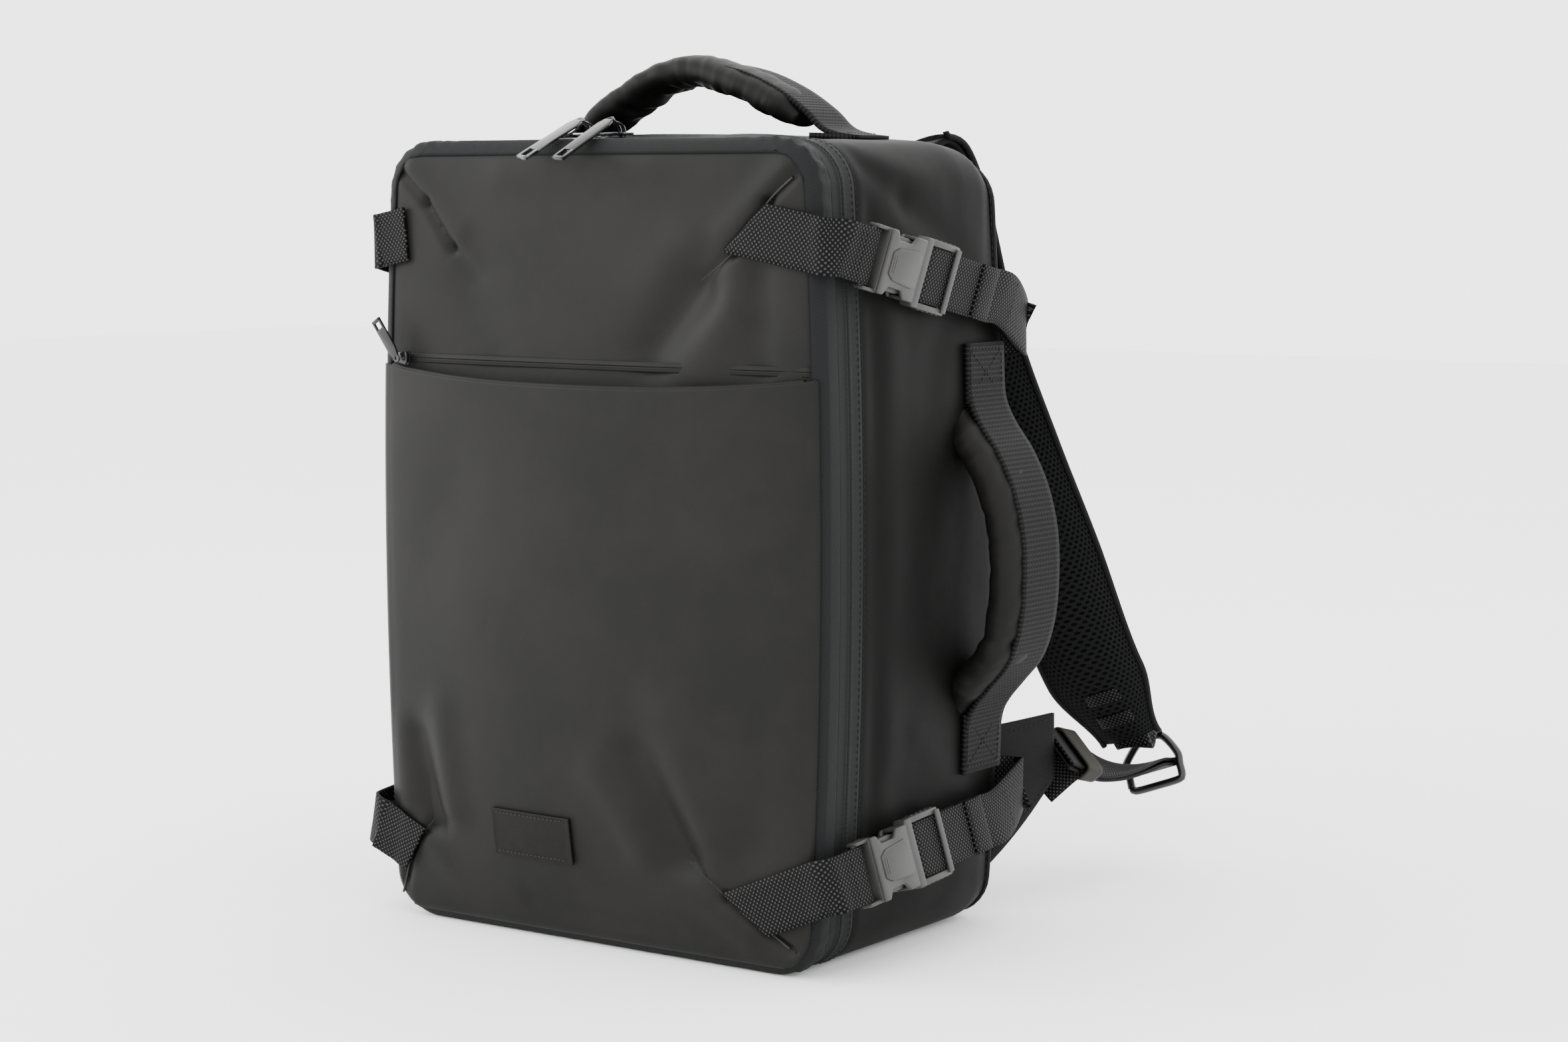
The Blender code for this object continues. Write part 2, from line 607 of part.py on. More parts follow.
# ---------------------------------------------------------------- shoulder straps
def turned_way(share):
    angle = math.radians(PAD_EDGE_TURN) * share
    return Vector((math.cos(angle), math.sin(angle), 0.0))


def lower_webbing_line():
    """Centre line, widths' directions and normals of the webbing between the wing and the hook."""
    start, end = Vector(WEBBING_START), Vector(HOOK_CENTRE)
    along = (end - start).normalized()
    near, far = Vector(TAIL_ACROSS), Vector(BAR_ACROSS)
    line = []
    for share in (0.0, 0.17, 0.30, 0.45, 0.60, 0.75, 0.88, 0.96):
        mix = min(1.0, max(0.0, (share - 0.30) / 0.58))
        across = near.lerp(far, mix)
        across = (across - across.dot(along) * along).normalized()
        sag = Vector((0.0, 0.0, -5.0 * math.sin(math.pi * share)))
        line.append((start.lerp(end, share) + sag, across, along.cross(across)))
    return line, along


def hook_frame():
    """The hook's own frame: X along its bar, Y away from the webbing, Z towards the pad."""
    line, along = lower_webbing_line()
    across = line[-1][1]
    up = across.cross(along).normalized()
    if up.z < 0:
        up = -up
        across = -across
    return Matrix.Translation(Vector(HOOK_CENTRE)) @ Matrix((across, along, up)).transposed().to_4x4()


def make_shoulder_strap(side_name, side):
    bm = bmesh.new()
    root = [(62, 97.2, 396), (62, 97.6, 414), (62.5, 101.5, 432), (64, 108.5, 441.5)]
    ribbon(bm, root, (1, 0, 0), 56.0, 5.0)
    mirrored(bm, side)
    new_part("shoulder_anchor_" + side_name, bm, "shell_fabric")

    pad_top = on_side(PAD_PATH[0], side)
    wing_edge = on_side(WEBBING_START, side)
    count = len(PAD_PATH) - 1
    ways = [turned_way(i / count) for i in range(count + 1)]
    widths = [PAD_WIDTH] * (count - 1) + [PAD_WIDTH * 0.9, PAD_WIDTH * 0.45]
    bm = bmesh.new()
    ribbon(bm, PAD_PATH, ways, widths, PAD_THICKNESS)
    mirrored(bm, side)
    new_part("shoulder_pad_" + side_name, bm, "air_mesh", pivot=pad_top)

    frame = hook_frame()
    bm = bmesh.new()
    top_of_ring = frame @ Vector((0.0, 0.0, 22.0))
    end = Vector(PAD_PATH[-1])
    way = (end - Vector(PAD_PATH[-2])).normalized()
    path = [end + way * 4.0, end.lerp(top_of_ring, 0.55),
            top_of_ring + (end - top_of_ring).normalized() * 3.2]
    ribbon(bm, path, [ways[-1], ways[-1], frame.to_3x3() @ Vector((1, 0, 0))], 22.0, 2.4)
    mirrored(bm, side)
    new_part("pad_loop_" + side_name, bm, "webbing", pivot=pad_top)

    bm = bmesh.new()
    prism(bm, [(-19, -9), (-15, -13), (15, -13), (19, -9), (19, 6), (12, 19), (-4, 22), (-19, 8)], -2.0, 2.0)
    upright = frame @ Matrix.Rotation(math.radians(90.0), 4, "X")
    hook = new_part("hook_" + side_name, placed(bm, upright, side), "black_metal", pivot=pad_top,
                    smooth=False)
    hole = bmesh.new()
    prism(hole, [(-15.6, -9.5), (15.6, -9.5), (15.6, 4.5), (9.0, 15.5), (-3.5, 17.5), (-15.6, 6.0)],
          -5.0, 5.0)
    combine(hook, placed(hole, upright, side), "DIFFERENCE")
    combine(hook, placed(boxes([((-17.0, -0.8, -0.9), (17.0, 0.8, 0.9))]), upright, side), "UNION")

    line, along = lower_webbing_line()
    path = [centre + normal * 1.9 for centre, across, normal in line]
    ways = [across for centre, across, normal in line]
    last, across, normal = line[-1]
    centre = Vector(HOOK_CENTRE)
    path += [centre + normal * 1.9 + along * 1.0, centre + along * 3.4, centre - normal * 1.9 + along * 1.0]
    ways += [across] * 3
    path += [centre - normal * 1.9 for centre, across, normal in reversed(line)]
    ways += [across for centre, across, normal in reversed(line)]
    bm = bmesh.new()
    ribbon(bm, path, ways, WEBBING_WIDTH, WEBBING)
    mirrored(bm, side)
    new_part("lower_webbing_" + side_name, bm, "webbing", pivot=wing_edge)

    keeper_at = Vector(WEBBING_START).lerp(Vector(HOOK_CENTRE), 0.17) + Vector((0, 0, -2.5))
    centre, across, normal = line[1]
    frame = Matrix.Translation(keeper_at) @ Matrix((along, across, normal)).transposed().to_4x4()
    keeper = new_part("keeper_" + side_name,
                      placed(boxes([((-7.5, -17.4, -5.4), (7.5, 17.4, 5.4))]), frame, side), "elastic",
                      pivot=on_side(keeper_at, side), smooth=False)
    combine(keeper, placed(boxes([((-9.0, -15.8, -4.2), (9.0, 15.8, 4.2))]), frame, side), "DIFFERENCE")

    bm = bmesh.new()
    lean = [(WING_X[0], Y_BACK + 2.0), (WING_X[1], WEBBING_START[1] - 3.0)]
    heights = [(26.0, 106.0), (72.0, 110.0)]
    rings = []
    for x_shift in (-1.5, 1.5):
        rings.append([Vector((lean[0][0] + x_shift, lean[0][1], heights[0][0])),
                      Vector((lean[1][0] + x_shift, lean[1][1], heights[1][0])),
                      Vector((lean[1][0] + x_shift, lean[1][1], heights[1][1])),
                      Vector((lean[0][0] + x_shift, lean[0][1], heights[0][1]))])
    loft(bm, rings)
    mirrored(bm, side)
    new_part("strap_wing_" + side_name, bm, "trim_fabric", smooth=False)


def main():
    clear_scene()
    make_body()
    make_back_panel()
    make_lid()
    make_slip_pocket()
    make_patch()
    make_pocket_zip()
    make_zip_sliders()
    make_pocket_slider()
    make_compression_straps()
    make_handles()
    for side_name, side in SIDES.items():
        make_shoulder_strap(side_name, side)


main()
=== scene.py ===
import math

import bmesh
import bpy
from mathutils import Matrix, Vector, noise


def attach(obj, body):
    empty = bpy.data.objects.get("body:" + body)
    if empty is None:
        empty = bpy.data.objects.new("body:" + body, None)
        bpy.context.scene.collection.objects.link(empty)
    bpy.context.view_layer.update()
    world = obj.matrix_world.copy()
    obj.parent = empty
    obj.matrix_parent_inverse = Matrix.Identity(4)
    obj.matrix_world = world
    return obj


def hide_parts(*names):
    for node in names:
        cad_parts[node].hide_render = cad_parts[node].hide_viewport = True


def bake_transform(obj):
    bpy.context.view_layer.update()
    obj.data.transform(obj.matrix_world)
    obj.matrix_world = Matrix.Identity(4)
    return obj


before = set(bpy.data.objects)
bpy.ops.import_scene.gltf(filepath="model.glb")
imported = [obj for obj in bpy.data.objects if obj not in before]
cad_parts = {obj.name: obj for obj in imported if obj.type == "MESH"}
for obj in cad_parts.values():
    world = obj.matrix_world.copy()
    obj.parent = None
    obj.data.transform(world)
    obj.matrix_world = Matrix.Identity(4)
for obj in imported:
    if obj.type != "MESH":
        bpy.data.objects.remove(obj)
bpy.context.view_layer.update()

mm = 0.001  # shapes are worked in millimetres and shrunk once, when a piece is finished


# camera, light and floor
view = {"lens": 72.0, "place": (1.06131, -1.42054, 0.40978), "turn": 35.2, "tilt": 5.9}
studio = {"sky": 3.6, "key": 20.0, "side": 2.0, "rim": 4.0, "cross": 26.0}


def makeCamera():
    turn, tilt = math.radians(view["turn"]), math.radians(view["tilt"])
    back = Vector((math.sin(turn) * math.cos(tilt), -math.cos(turn) * math.cos(tilt), math.sin(tilt)))
    data = bpy.data.cameras.new("camera")
    data.lens = view["lens"]
    data.sensor_width = 36.0
    camera = bpy.data.objects.new("camera", data)
    camera.location = view["place"]
    camera.rotation_euler = back.to_track_quat("Z", "Y").to_euler()
    bpy.context.scene.collection.objects.link(camera)
    bpy.context.scene.camera = camera


def makeLamp(name, place, aim, size, power):
    data = bpy.data.lights.new(name, "AREA")
    data.shape = "RECTANGLE"
    data.size, data.size_y = size
    data.energy = power
    lamp = bpy.data.objects.new(name, data)
    lamp.location = place
    lamp.rotation_euler = (Vector(place) - Vector(aim)).to_track_quat("Z", "Y").to_euler()
    bpy.context.scene.collection.objects.link(lamp)


def makeStudio():
    world = bpy.data.worlds.new("studio")
    world.use_nodes = True
    sky = world.node_tree.nodes["Background"]
    sky.inputs["Color"].default_value = (1.0, 1.0, 1.0, 1.0)
    sky.inputs["Strength"].default_value = studio["sky"]
    bpy.context.scene.world = world
    makeLamp("keyLamp", (-0.55, -1.9, 1.5), (0.0, 0.0, 0.22), (1.4, 1.4), studio["key"])
    makeLamp("crossLamp", (-1.9, -1.1, 1.0), (0.0, 0.0, 0.24), (0.7, 0.9), studio["cross"])
    makeLamp("sideLamp", (2.1, -0.5, 0.9), (0.1, 0.0, 0.22), (1.0, 1.4), studio["side"])
    makeLamp("rimLamp", (0.6, 1.6, 1.5), (0.1, 0.1, 0.3), (1.0, 1.0), studio["rim"])


# shader maths: a Wire is one socket, and sums on wires add Math nodes
class Wire:
    def __init__(self, finish, out):
        self.finish = finish
        self.out = out

    def __add__(self, other):
        return self.finish.sum("ADD", self, other)

    def __radd__(self, other):
        return self.finish.sum("ADD", other, self)

    def __sub__(self, other):
        return self.finish.sum("SUBTRACT", self, other)

    def __rsub__(self, other):
        return self.finish.sum("SUBTRACT", other, self)

    def __mul__(self, other):
        return self.finish.sum("MULTIPLY", self, other)

    def __rmul__(self, other):
        return self.finish.sum("MULTIPLY", other, self)

    def __truediv__(self, other):
        return self.finish.sum("DIVIDE", self, other)

    def __pow__(self, other):
        return self.finish.sum("POWER", self, other)


class Finish:
    def __init__(self, name, roughness=0.6, metallic=0.0, **constants):
        self.material = bpy.data.materials.new(name)
        self.material.use_nodes = True
        self.tree = self.material.node_tree
        self.shader = self.tree.nodes["Principled BSDF"]
        self.shader.inputs["Roughness"].default_value = roughness
        self.shader.inputs["Metallic"].default_value = metallic
        for socket, value in constants.items():
            self.shader.inputs[socket.replace("_", " ")].default_value = value

    def node(self, kind, settings=None, inputs=None, output=0):
        made = self.tree.nodes.new(kind)
        for key, value in (settings or {}).items():
            if key != "stops":
                setattr(made, key, value)
                continue
            ramp = made.color_ramp.elements
            while len(ramp) < len(value):
                ramp.new(0.5)
            for element, (position, colour) in zip(ramp, value):
                element.position = position
                element.color = colour
        for key, value in (inputs or {}).items():
            if isinstance(value, Wire):
                self.tree.links.new(value.out, made.inputs[key])
            else:
                made.inputs[key].default_value = value
        return Wire(self, made.outputs[output])

    def sum(self, operation, *values):
        return self.node("ShaderNodeMath", {"operation": operation}, dict(enumerate(values)))

    def wave(self, value):
        return self.sum("SINE", value)

    def step(self, value, low, high):
        return self.node("ShaderNodeMapRange", {"interpolation_type": "SMOOTHSTEP"},
                         {0: value, 1: low, 2: high, 3: 0.0, 4: 1.0})

    def mix(self, share, first, second):
        return self.node("ShaderNodeMix", {"data_type": "RGBA"}, {0: share, 6: first, 7: second}, 2)

    def place(self):
        return self.node("ShaderNodeTexCoord", output=3)

    def across(self):  # the piece's own UV in millimetres, as two wires
        uv = self.node("ShaderNodeUVMap", {"uv_map": "UVMap"})
        split = self.node("ShaderNodeSeparateXYZ", inputs={0: uv})
        return split, Wire(self, split.out.node.outputs[1])

    def grain(self, scale, detail=2.0, roughness=0.5, where=None):
        return self.node("ShaderNodeTexNoise", inputs={"Vector": where or self.place(), "Scale": scale,
                                                       "Detail": detail, "Roughness": roughness})

    def colour(self, wire):
        self.tree.links.new(wire.out, self.shader.inputs["Base Color"])

    def rough(self, wire):
        self.tree.links.new(wire.out, self.shader.inputs["Roughness"])

    def bump(self, height, distance, strength=1.0, under=None):
        inputs = {"Strength": strength, "Distance": distance, "Height": height}
        if under:
            inputs["Normal"] = under
        made = self.node("ShaderNodeBump", inputs=inputs)
        self.tree.links.new(made.out, self.shader.inputs["Normal"])
        return made


def grey(level, warm=0.0):
    return (level * (1 + warm), level, level * (1 - warm), 1.0)


# rubber-coated fabric: soft, matt, with a fine pebble and faint handling marks
coating = {"dark": grey(0.0046, 0.04), "pale": grey(0.0068, 0.06), "rough": 0.54, "shine": 0.10,
           "pebble": 0.00006}


def coatedFabric(name, tone=1.0):
    made = Finish(name, roughness=coating["rough"], Specular_IOR_Level=coating["shine"] * tone)
    slow = made.grain(9.0, 3.0, 0.6)
    fine = made.grain(1500.0, 2.0, 0.5)
    marks = made.grain(60.0, 4.0, 0.65)
    dark = tuple(c * tone for c in coating["dark"][:3]) + (1.0,)
    pale = tuple(c * tone for c in coating["pale"][:3]) + (1.0,)
    made.colour(made.mix(made.step(slow * 0.6 + marks * 0.25 + fine * 0.15, 0.38, 0.62), dark, pale))
    made.rough(coating["rough"] - 0.05 + marks * 0.09 + fine * 0.03)
    soft = made.bump(made.grain(45.0, 3.0, 0.55), 0.0006, 0.35)
    made.bump(fine, coating["pebble"], 0.5, soft)
    return made.material


# twill of the zip flap and the trims: diagonal ribs, a little bluer than the coated fabric
def twillFabric(name, level=0.0050, blue=0.06, pitch=0.9):
    made = Finish(name, roughness=0.72, Specular_IOR_Level=0.12)
    along, over = made.across()
    rib = made.wave((along + over) * (2 * math.pi / pitch)) * 0.5 + 0.5
    cross = made.wave((along - over) * (2 * math.pi / (pitch * 2.1))) * 0.5 + 0.5
    fluff = made.grain(900.0, 3.0, 0.6)
    shade = made.step(rib * 0.55 + cross * 0.2 + fluff * 0.35, 0.25, 0.95)
    made.colour(made.mix(shade, grey(level * 0.6, -blue), grey(level * 1.35, -blue)))
    made.rough(0.64 + fluff * 0.16)
    made.bump(rib * 0.7 + cross * 0.3 + fluff * 0.3, 0.00018, 0.7)
    return made.material


# woven webbing: rows of floats across the strap with pale flecks between them
webbingWeave = {"rib": 2.7, "yarn": 3.0, "dark": grey(0.0007), "pale": grey(0.03), "rough": 0.62}


def wovenWebbing(name, tone=1.0, ribbed=0.0):
    made = Finish(name, roughness=webbingWeave["rough"], Specular_IOR_Level=0.08)
    along, over = made.across()
    first = made.wave(along * (2 * math.pi / webbingWeave["rib"]))
    second = made.wave(over * (2 * math.pi / webbingWeave["yarn"]))
    weave = (first * second * (1.0 - ribbed) + first * ribbed) * 0.5 + 0.5
    fluff = made.grain(1300.0, 2.0, 0.6)
    fleck = made.step(weave * 0.9 + fluff * 0.35, 0.66, 1.0)
    pale = tuple(c * tone for c in webbingWeave["pale"][:3]) + (1.0,)
    made.colour(made.mix(fleck, webbingWeave["dark"], pale))
    made.rough(0.55 + fluff * 0.2)
    made.bump(weave + fluff * 0.25, 0.00032, 0.9)
    return made.material


def zipTapeFabric(name):
    made = Finish(name, roughness=0.66, Specular_IOR_Level=0.12)
    along, over = made.across()
    tooth = made.wave(along * (2 * math.pi / 1.3)) * 0.5 + 0.5
    herring = made.wave((along + over * 0.8) * (2 * math.pi / 1.0)) * 0.5 + 0.5
    fluff = made.grain(1100.0, 2.0, 0.6)
    # the tape's dark colour is partly its own and partly painted shade: it is darkened to stand in for the shadow
    # in the gap between the flap and the side
    made.colour(made.mix(made.step(herring * 0.5 + fluff * 0.5, 0.2, 0.9),
                         grey(0.002, -0.06), grey(0.0072, -0.06)))
    made.rough(0.58 + fluff * 0.16)
    made.bump(herring * 0.4 + tooth * 0.4 + fluff * 0.3, 0.00018, 0.7)
    return made.material


def mouldedPlastic(name, level=0.026):
    made = Finish(name, roughness=0.42, Specular_IOR_Level=0.22)
    spark = made.grain(2600.0, 2.0, 0.5)
    slow = made.grain(70.0, 3.0, 0.6)
    made.colour(made.mix(made.step(spark * 0.6 + slow * 0.4, 0.35, 0.65),
                         grey(level * 0.86, 0.02), grey(level * 1.12, 0.02)))
    made.rough(0.36 + spark * 0.12 + slow * 0.04)
    made.bump(spark, 0.00005, 0.5)
    return made.material


def polishedMetal(name, level=0.34, roughness=0.16, metallic=1.0):
    made = Finish(name, roughness=roughness, metallic=metallic)
    smear = made.grain(110.0, 4.0, 0.65)
    scratch = made.grain(1900.0, 2.0, 0.6)
    made.colour(made.mix(made.step(smear * 0.7 + scratch * 0.3, 0.3, 0.7),
                         grey(level * 0.85), grey(level * 1.1, -0.01)))
    made.rough(roughness - 0.04 + smear * 0.08 + scratch * 0.03)
    made.bump(scratch, 0.00001, 0.3)
    return made.material


# spacer mesh: a hexagon of open cells over a dark backing
def spacerMesh(name, pitch=3.4, level=0.0034):
    made = Finish(name, roughness=0.85, Specular_IOR_Level=0.05)
    along, over = made.across()
    k = 4 * math.pi / (math.sqrt(3) * pitch)
    cells = made.wave(along * k + math.pi / 2)
    cells = cells + made.wave((along * 0.5 + over * 0.8660254) * k + math.pi / 2)
    cells = cells + made.wave((along * 0.5 - over * 0.8660254) * k + math.pi / 2)
    fluff = made.grain(1300.0, 2.0, 0.6)
    hole = made.step(cells + fluff * 0.5, 0.35, 1.5)
    made.colour(made.mix(hole, grey(level * 2.0, -0.03), grey(0.0004)))
    made.rough(0.75 + fluff * 0.15)
    made.bump(1.0 - hole + fluff * 0.15, 0.0011, 0.9)
    return made.material


def elasticTape(name):
    made = Finish(name, roughness=0.7, Specular_IOR_Level=0.15)
    along, over = made.across()
    rib = made.wave(over * (2 * math.pi / 1.3)) * 0.5 + 0.5
    fluff = made.grain(1200.0, 2.0, 0.6)
    made.colour(made.mix(made.step(rib * 0.7 + fluff * 0.4, 0.2, 1.0),
                         (0.0035, 0.0031, 0.002, 1), (0.0165, 0.0148, 0.0095, 1)))
    made.rough(0.6 + fluff * 0.16)
    made.bump(rib + fluff * 0.2, 0.0003, 0.8)
    return made.material


def patchRubber(name):
    made = Finish(name, roughness=0.5, Specular_IOR_Level=0.1)
    hide = made.node("ShaderNodeTexVoronoi", {"feature": "DISTANCE_TO_EDGE"},
                     {"Vector": made.place(), "Scale": 900.0})
    slow = made.grain(120.0, 3.0, 0.6)
    made.colour(made.mix(made.step(slow, 0.35, 0.65),
                         (0.0020, 0.0018, 0.0014, 1), (0.0031, 0.0028, 0.0022, 1)))
    made.rough(0.46 + slow * 0.1)
    made.bump(made.step(hide, 0.0, 0.25), 0.00008, 0.6)
    return made.material


def liningFabric(name, level=0.05):
    made = Finish(name, roughness=0.6, Specular_IOR_Level=0.2)
    ribs = made.grain(1600.0, 2.0, 0.5)
    slow = made.grain(14.0, 3.0, 0.6)
    made.colour(made.mix(made.step(slow * 0.6 + ribs * 0.4, 0.35, 0.65),
                         grey(level * 0.85), grey(level * 1.12)))
    made.rough(0.52 + ribs * 0.14)
    soft = made.bump(made.grain(38.0, 3.0, 0.6), 0.0012, 0.5)
    made.bump(ribs, 0.00008, 0.5, soft)
    return made.material


def sewingThread(name, level=0.0042):
    made = Finish(name, roughness=0.6, Specular_IOR_Level=0.15)
    twist = made.grain(2200.0, 1.0, 0.5)
    made.colour(made.mix(twist, grey(level * 0.6), grey(level * 1.8)))
    made.rough(0.5 + twist * 0.2)
    made.bump(twist, 0.00006, 0.6)
    return made.material


def studioFloor(name):
    made = Finish(name, roughness=0.85)
    spread = made.grain(3.0, 3.0, 0.6)
    made.colour(made.mix(spread, (0.90, 0.90, 0.90, 1), (0.93, 0.93, 0.93, 1)))
    made.rough(0.8 + spread * 0.1)
    return made.material


finishes = {
    "coated": coatedFabric("coatedFabric"),
    # painted shade: the tub's sides, top and base, the back face and the pad backs use the coated fabric darkened
    # to 0.45 tone, standing in for the shade on faces turned away from the light
    "coatedSide": coatedFabric("coatedFabricPaintedShade", 0.45),
    "sleeve": coatedFabric("sleeveFabric", 0.8),
    "twill": twillFabric("flapTwill"),
    "trim": twillFabric("trimTwill", 0.002, 0.03, 0.8),
    "webbing": wovenWebbing("webbing"),
    "handleWebbing": wovenWebbing("handleWebbing", 0.3, 0.7),
    "zipTape": zipTapeFabric("zipTape"),
    "plastic": mouldedPlastic("bucklePlastic"),
    "chrome": polishedMetal("darkNickel", 0.12, 0.22),
    "darkChrome": polishedMetal("blackNickel", 0.006, 0.22, 0.25),
    "blackMetal": polishedMetal("blackMetal", 0.003, 0.3, 0.2),
    "mesh": spacerMesh("spacerMesh"),
    "elastic": elasticTape("elasticTape"),
    "patch": patchRubber("patchRubber"),
    "lining": liningFabric("lining"),
    "darkLining": liningFabric("darkLining", 0.014),
    "thread": sewingThread("thread"),
    "paleThread": sewingThread("paleThread", 0.02),
    "floor": studioFloor("floor"),
}
makeCamera()
makeStudio()
print("camera, light and finishes are ready")


# ways of making pieces
def sheetGrid(columns, rows, place, lengths):
    # a flat grid whose points are moved by place(u, v), with its UV map in millimetres
    bm = bmesh.new()
    bmesh.ops.create_grid(bm, x_segments=columns, y_segments=rows, size=0.5)
    layer = bm.loops.layers.uv.new("UVMap")
    for face in bm.faces:
        for loop in face.loops:
            loop[layer].uv = ((loop.vert.co.x + 0.5) * lengths[0], (loop.vert.co.y + 0.5) * lengths[1])
    for vert in bm.verts:
        vert.co = place(min(1.0, max(0.0, vert.co.x + 0.5)), min(1.0, max(0.0, vert.co.y + 0.5)))
    return bm


def closeSeam(bm, gap=0.002):
    bmesh.ops.remove_doubles(bm, verts=bm.verts, dist=gap)
    bmesh.ops.recalc_face_normals(bm, faces=bm.faces)
    return bm


def finishPiece(name, bm, finish, body, stands=(), thick=0.0, side=0.0, rounds=0, edge=0.0,
                sharp=35.0, span=None):
    # turns a bmesh in millimetres into the finished object, put on its body when body is one name
    bmesh.ops.transform(bm, matrix=Matrix.Scale(mm, 4), verts=bm.verts)
    mesh = bpy.data.meshes.new(name)
    bm.to_mesh(mesh)
    bm.free()
    mesh.shade_smooth()
    if sharp:
        mesh.set_sharp_from_angle(angle=math.radians(sharp))
    piece = bpy.data.objects.new(name, mesh)
    bpy.context.scene.collection.objects.link(piece)
    for one in finish if isinstance(finish, (list, tuple)) else [finish]:
        mesh.materials.append(finishes[one])
    if thick:
        wall = piece.modifiers.new("thickness", "SOLIDIFY")
        wall.thickness = thick * mm
        wall.offset = side
        wall.use_even_offset = False
    if edge:
        soften = piece.modifiers.new("softEdge", "BEVEL")
        soften.width = edge * mm
        soften.segments = 2
        soften.limit_method = "ANGLE"
        soften.angle_limit = math.radians(40)
    if rounds:
        smooth = piece.modifiers.new("rounding", "SUBSURF")
        smooth.levels = smooth.render_levels = rounds
    if stands:
        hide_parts(*stands)
    if isinstance(body, str):
        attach(piece, body)
    else:
        [c * mm for c in span[0]]
        [c * mm for c in span[1]]
        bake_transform(piece)
    return piece


def curvePoint(points, t):
    # Catmull-Rom through a list of vectors, t from 0 to 1
    count = len(points) - 1
    at = min(count - 1e-6, max(0.0, t * count))
    i = int(at)
    f = at - i
    p0, p1, p2, p3 = (points[max(0, min(count, i + k))] for k in (-1, 0, 1, 2))
    return 0.5 * ((2 * p1) + (p2 - p0) * f + (2 * p0 - 5 * p1 + 4 * p2 - p3) * f * f
                  + (3 * p1 - p0 - 3 * p2 + p3) * f ** 3)


def evenWalk(points, step):
    # points about step apart along a polyline
    points = [Vector(p) for p in points]
    out, left = [points[0]], step
    for a, b in zip(points, points[1:]):
        length = (b - a).length
        while left <= length:
            out.append(a.lerp(b, left / length))
            left += step
        left -= length
    return out


def strapFrames(path, ways, step):
    # evenly spaced centres, directions and acrosses along a smooth curve through path
    path = [Vector(p) for p in path]
    ways = [Vector(w) for w in ways]
    many = [curvePoint(path, i / 400) for i in range(401)]
    manyWays = [curvePoint(ways, i / 400) for i in range(401)]
    reach = [0.0]
    for a, b in zip(many, many[1:]):
        reach.append(reach[-1] + (b - a).length)
    count = max(2, round(reach[-1] / step))
    frames, k = [], 0
    for i in range(count + 1):
        goal = reach[-1] * i / count
        while k < 399 and reach[k + 1] < goal:
            k += 1
        f = (goal - reach[k]) / max(1e-9, reach[k + 1] - reach[k])
        centre = many[k].lerp(many[k + 1], f)
        along = (many[min(400, k + 2)] - many[max(0, k - 1)]).normalized()
        across = manyWays[k].lerp(manyWays[k + 1], f)
        across = (across - across.dot(along) * along).normalized()
        frames.append((centre, along, across, along.cross(across), goal))
    return frames


def strapBand(path, ways, width, step=2.5, rows=6, lift=None):
    # a flat strap: the middle of its thickness follows the curve
    frames = strapFrames(path, ways, step)
    last = len(frames) - 1

    def place(u, v):
        centre, along, across, normal, reach = frames[round(u * last)]
        wide = width(reach / frames[-1][4]) if callable(width) else width
        point = centre + across * (v - 0.5) * wide
        if lift:
            point = point + normal * lift(reach, (v - 0.5) * wide)
        return point

    wide = width(0.5) if callable(width) else width
    return sheetGrid(last, rows, place, (frames[-1][4], wide))


def roundTube(path, radius, step=2.0, sides=10, squash=1.0, up=(0, 0, 1), closed=False):
    points = [Vector(p) for p in path]
    frames = strapFrames(points, [Vector(up)] * len(points), step)
    last = len(frames) - 1

    def place(u, v):
        centre, along, across, normal, reach = frames[round(u * last)]
        r = radius(reach / frames[-1][4]) if callable(radius) else radius
        turn = 2 * math.pi * v
        return centre + across * r * math.cos(turn) + normal * r * squash * math.sin(turn)

    bm = sheetGrid(last, sides, place, (frames[-1][4], 2 * math.pi * 2))
    closeSeam(bm)
    if not closed:
        ends = [e for e in bm.edges if e.is_boundary]
        bmesh.ops.holes_fill(bm, edges=ends, sides=0)
        bmesh.ops.recalc_face_normals(bm, faces=bm.faces)
    return bm


def plate(bm, outline, low, high, frameMatrix=None, bevel=0.5, segments=2):
    # a flat outline pushed out into a plate with softened edges
    verts = [bm.verts.new((x, y, low)) for x, y in outline]
    face = bm.faces.new(verts)
    grown = bmesh.ops.extrude_face_region(bm, geom=[face])["geom"]
    top = [v for v in grown if isinstance(v, bmesh.types.BMVert)]
    bmesh.ops.translate(bm, vec=(0, 0, high - low), verts=top)
    shape = verts + top
    faces = list({f for v in shape for f in v.link_faces})
    bmesh.ops.recalc_face_normals(bm, faces=faces)
    if bevel:
        edges = list({e for v in shape for e in v.link_edges})
        made = bmesh.ops.bevel(bm, geom=edges, offset=bevel, offset_type="OFFSET", segments=segments,
                               profile=0.5, affect="EDGES", material=-1, clamp_overlap=True)
        shape = list({v for f in made["faces"] for v in f.verts} | {v for v in shape if v.is_valid})
    if frameMatrix is not None:
        bmesh.ops.transform(bm, matrix=frameMatrix, verts=shape)
    return shape


def bar(bm, low, high, frameMatrix=None, bevel=0.4):
    outline = [(low[0], low[1]), (high[0], low[1]), (high[0], high[1]), (low[0], high[1])]
    return plate(bm, outline, low[2], high[2], frameMatrix, bevel)


def roundedOutline(width, height, radius, steps=4):
    points = []
    for cx, cy, start in ((1, 1, 0), (-1, 1, 90), (-1, -1, 180), (1, -1, 270)):
        for i in range(steps + 1):
            turn = math.radians(start + 90 * i / steps)
            points.append((cx * (width / 2 - radius) + radius * math.cos(turn),
                           cy * (height / 2 - radius) + radius * math.sin(turn)))
    return points


stitch = {"length": 2.6, "gap": 1.0, "wide": 0.55, "high": 0.45}


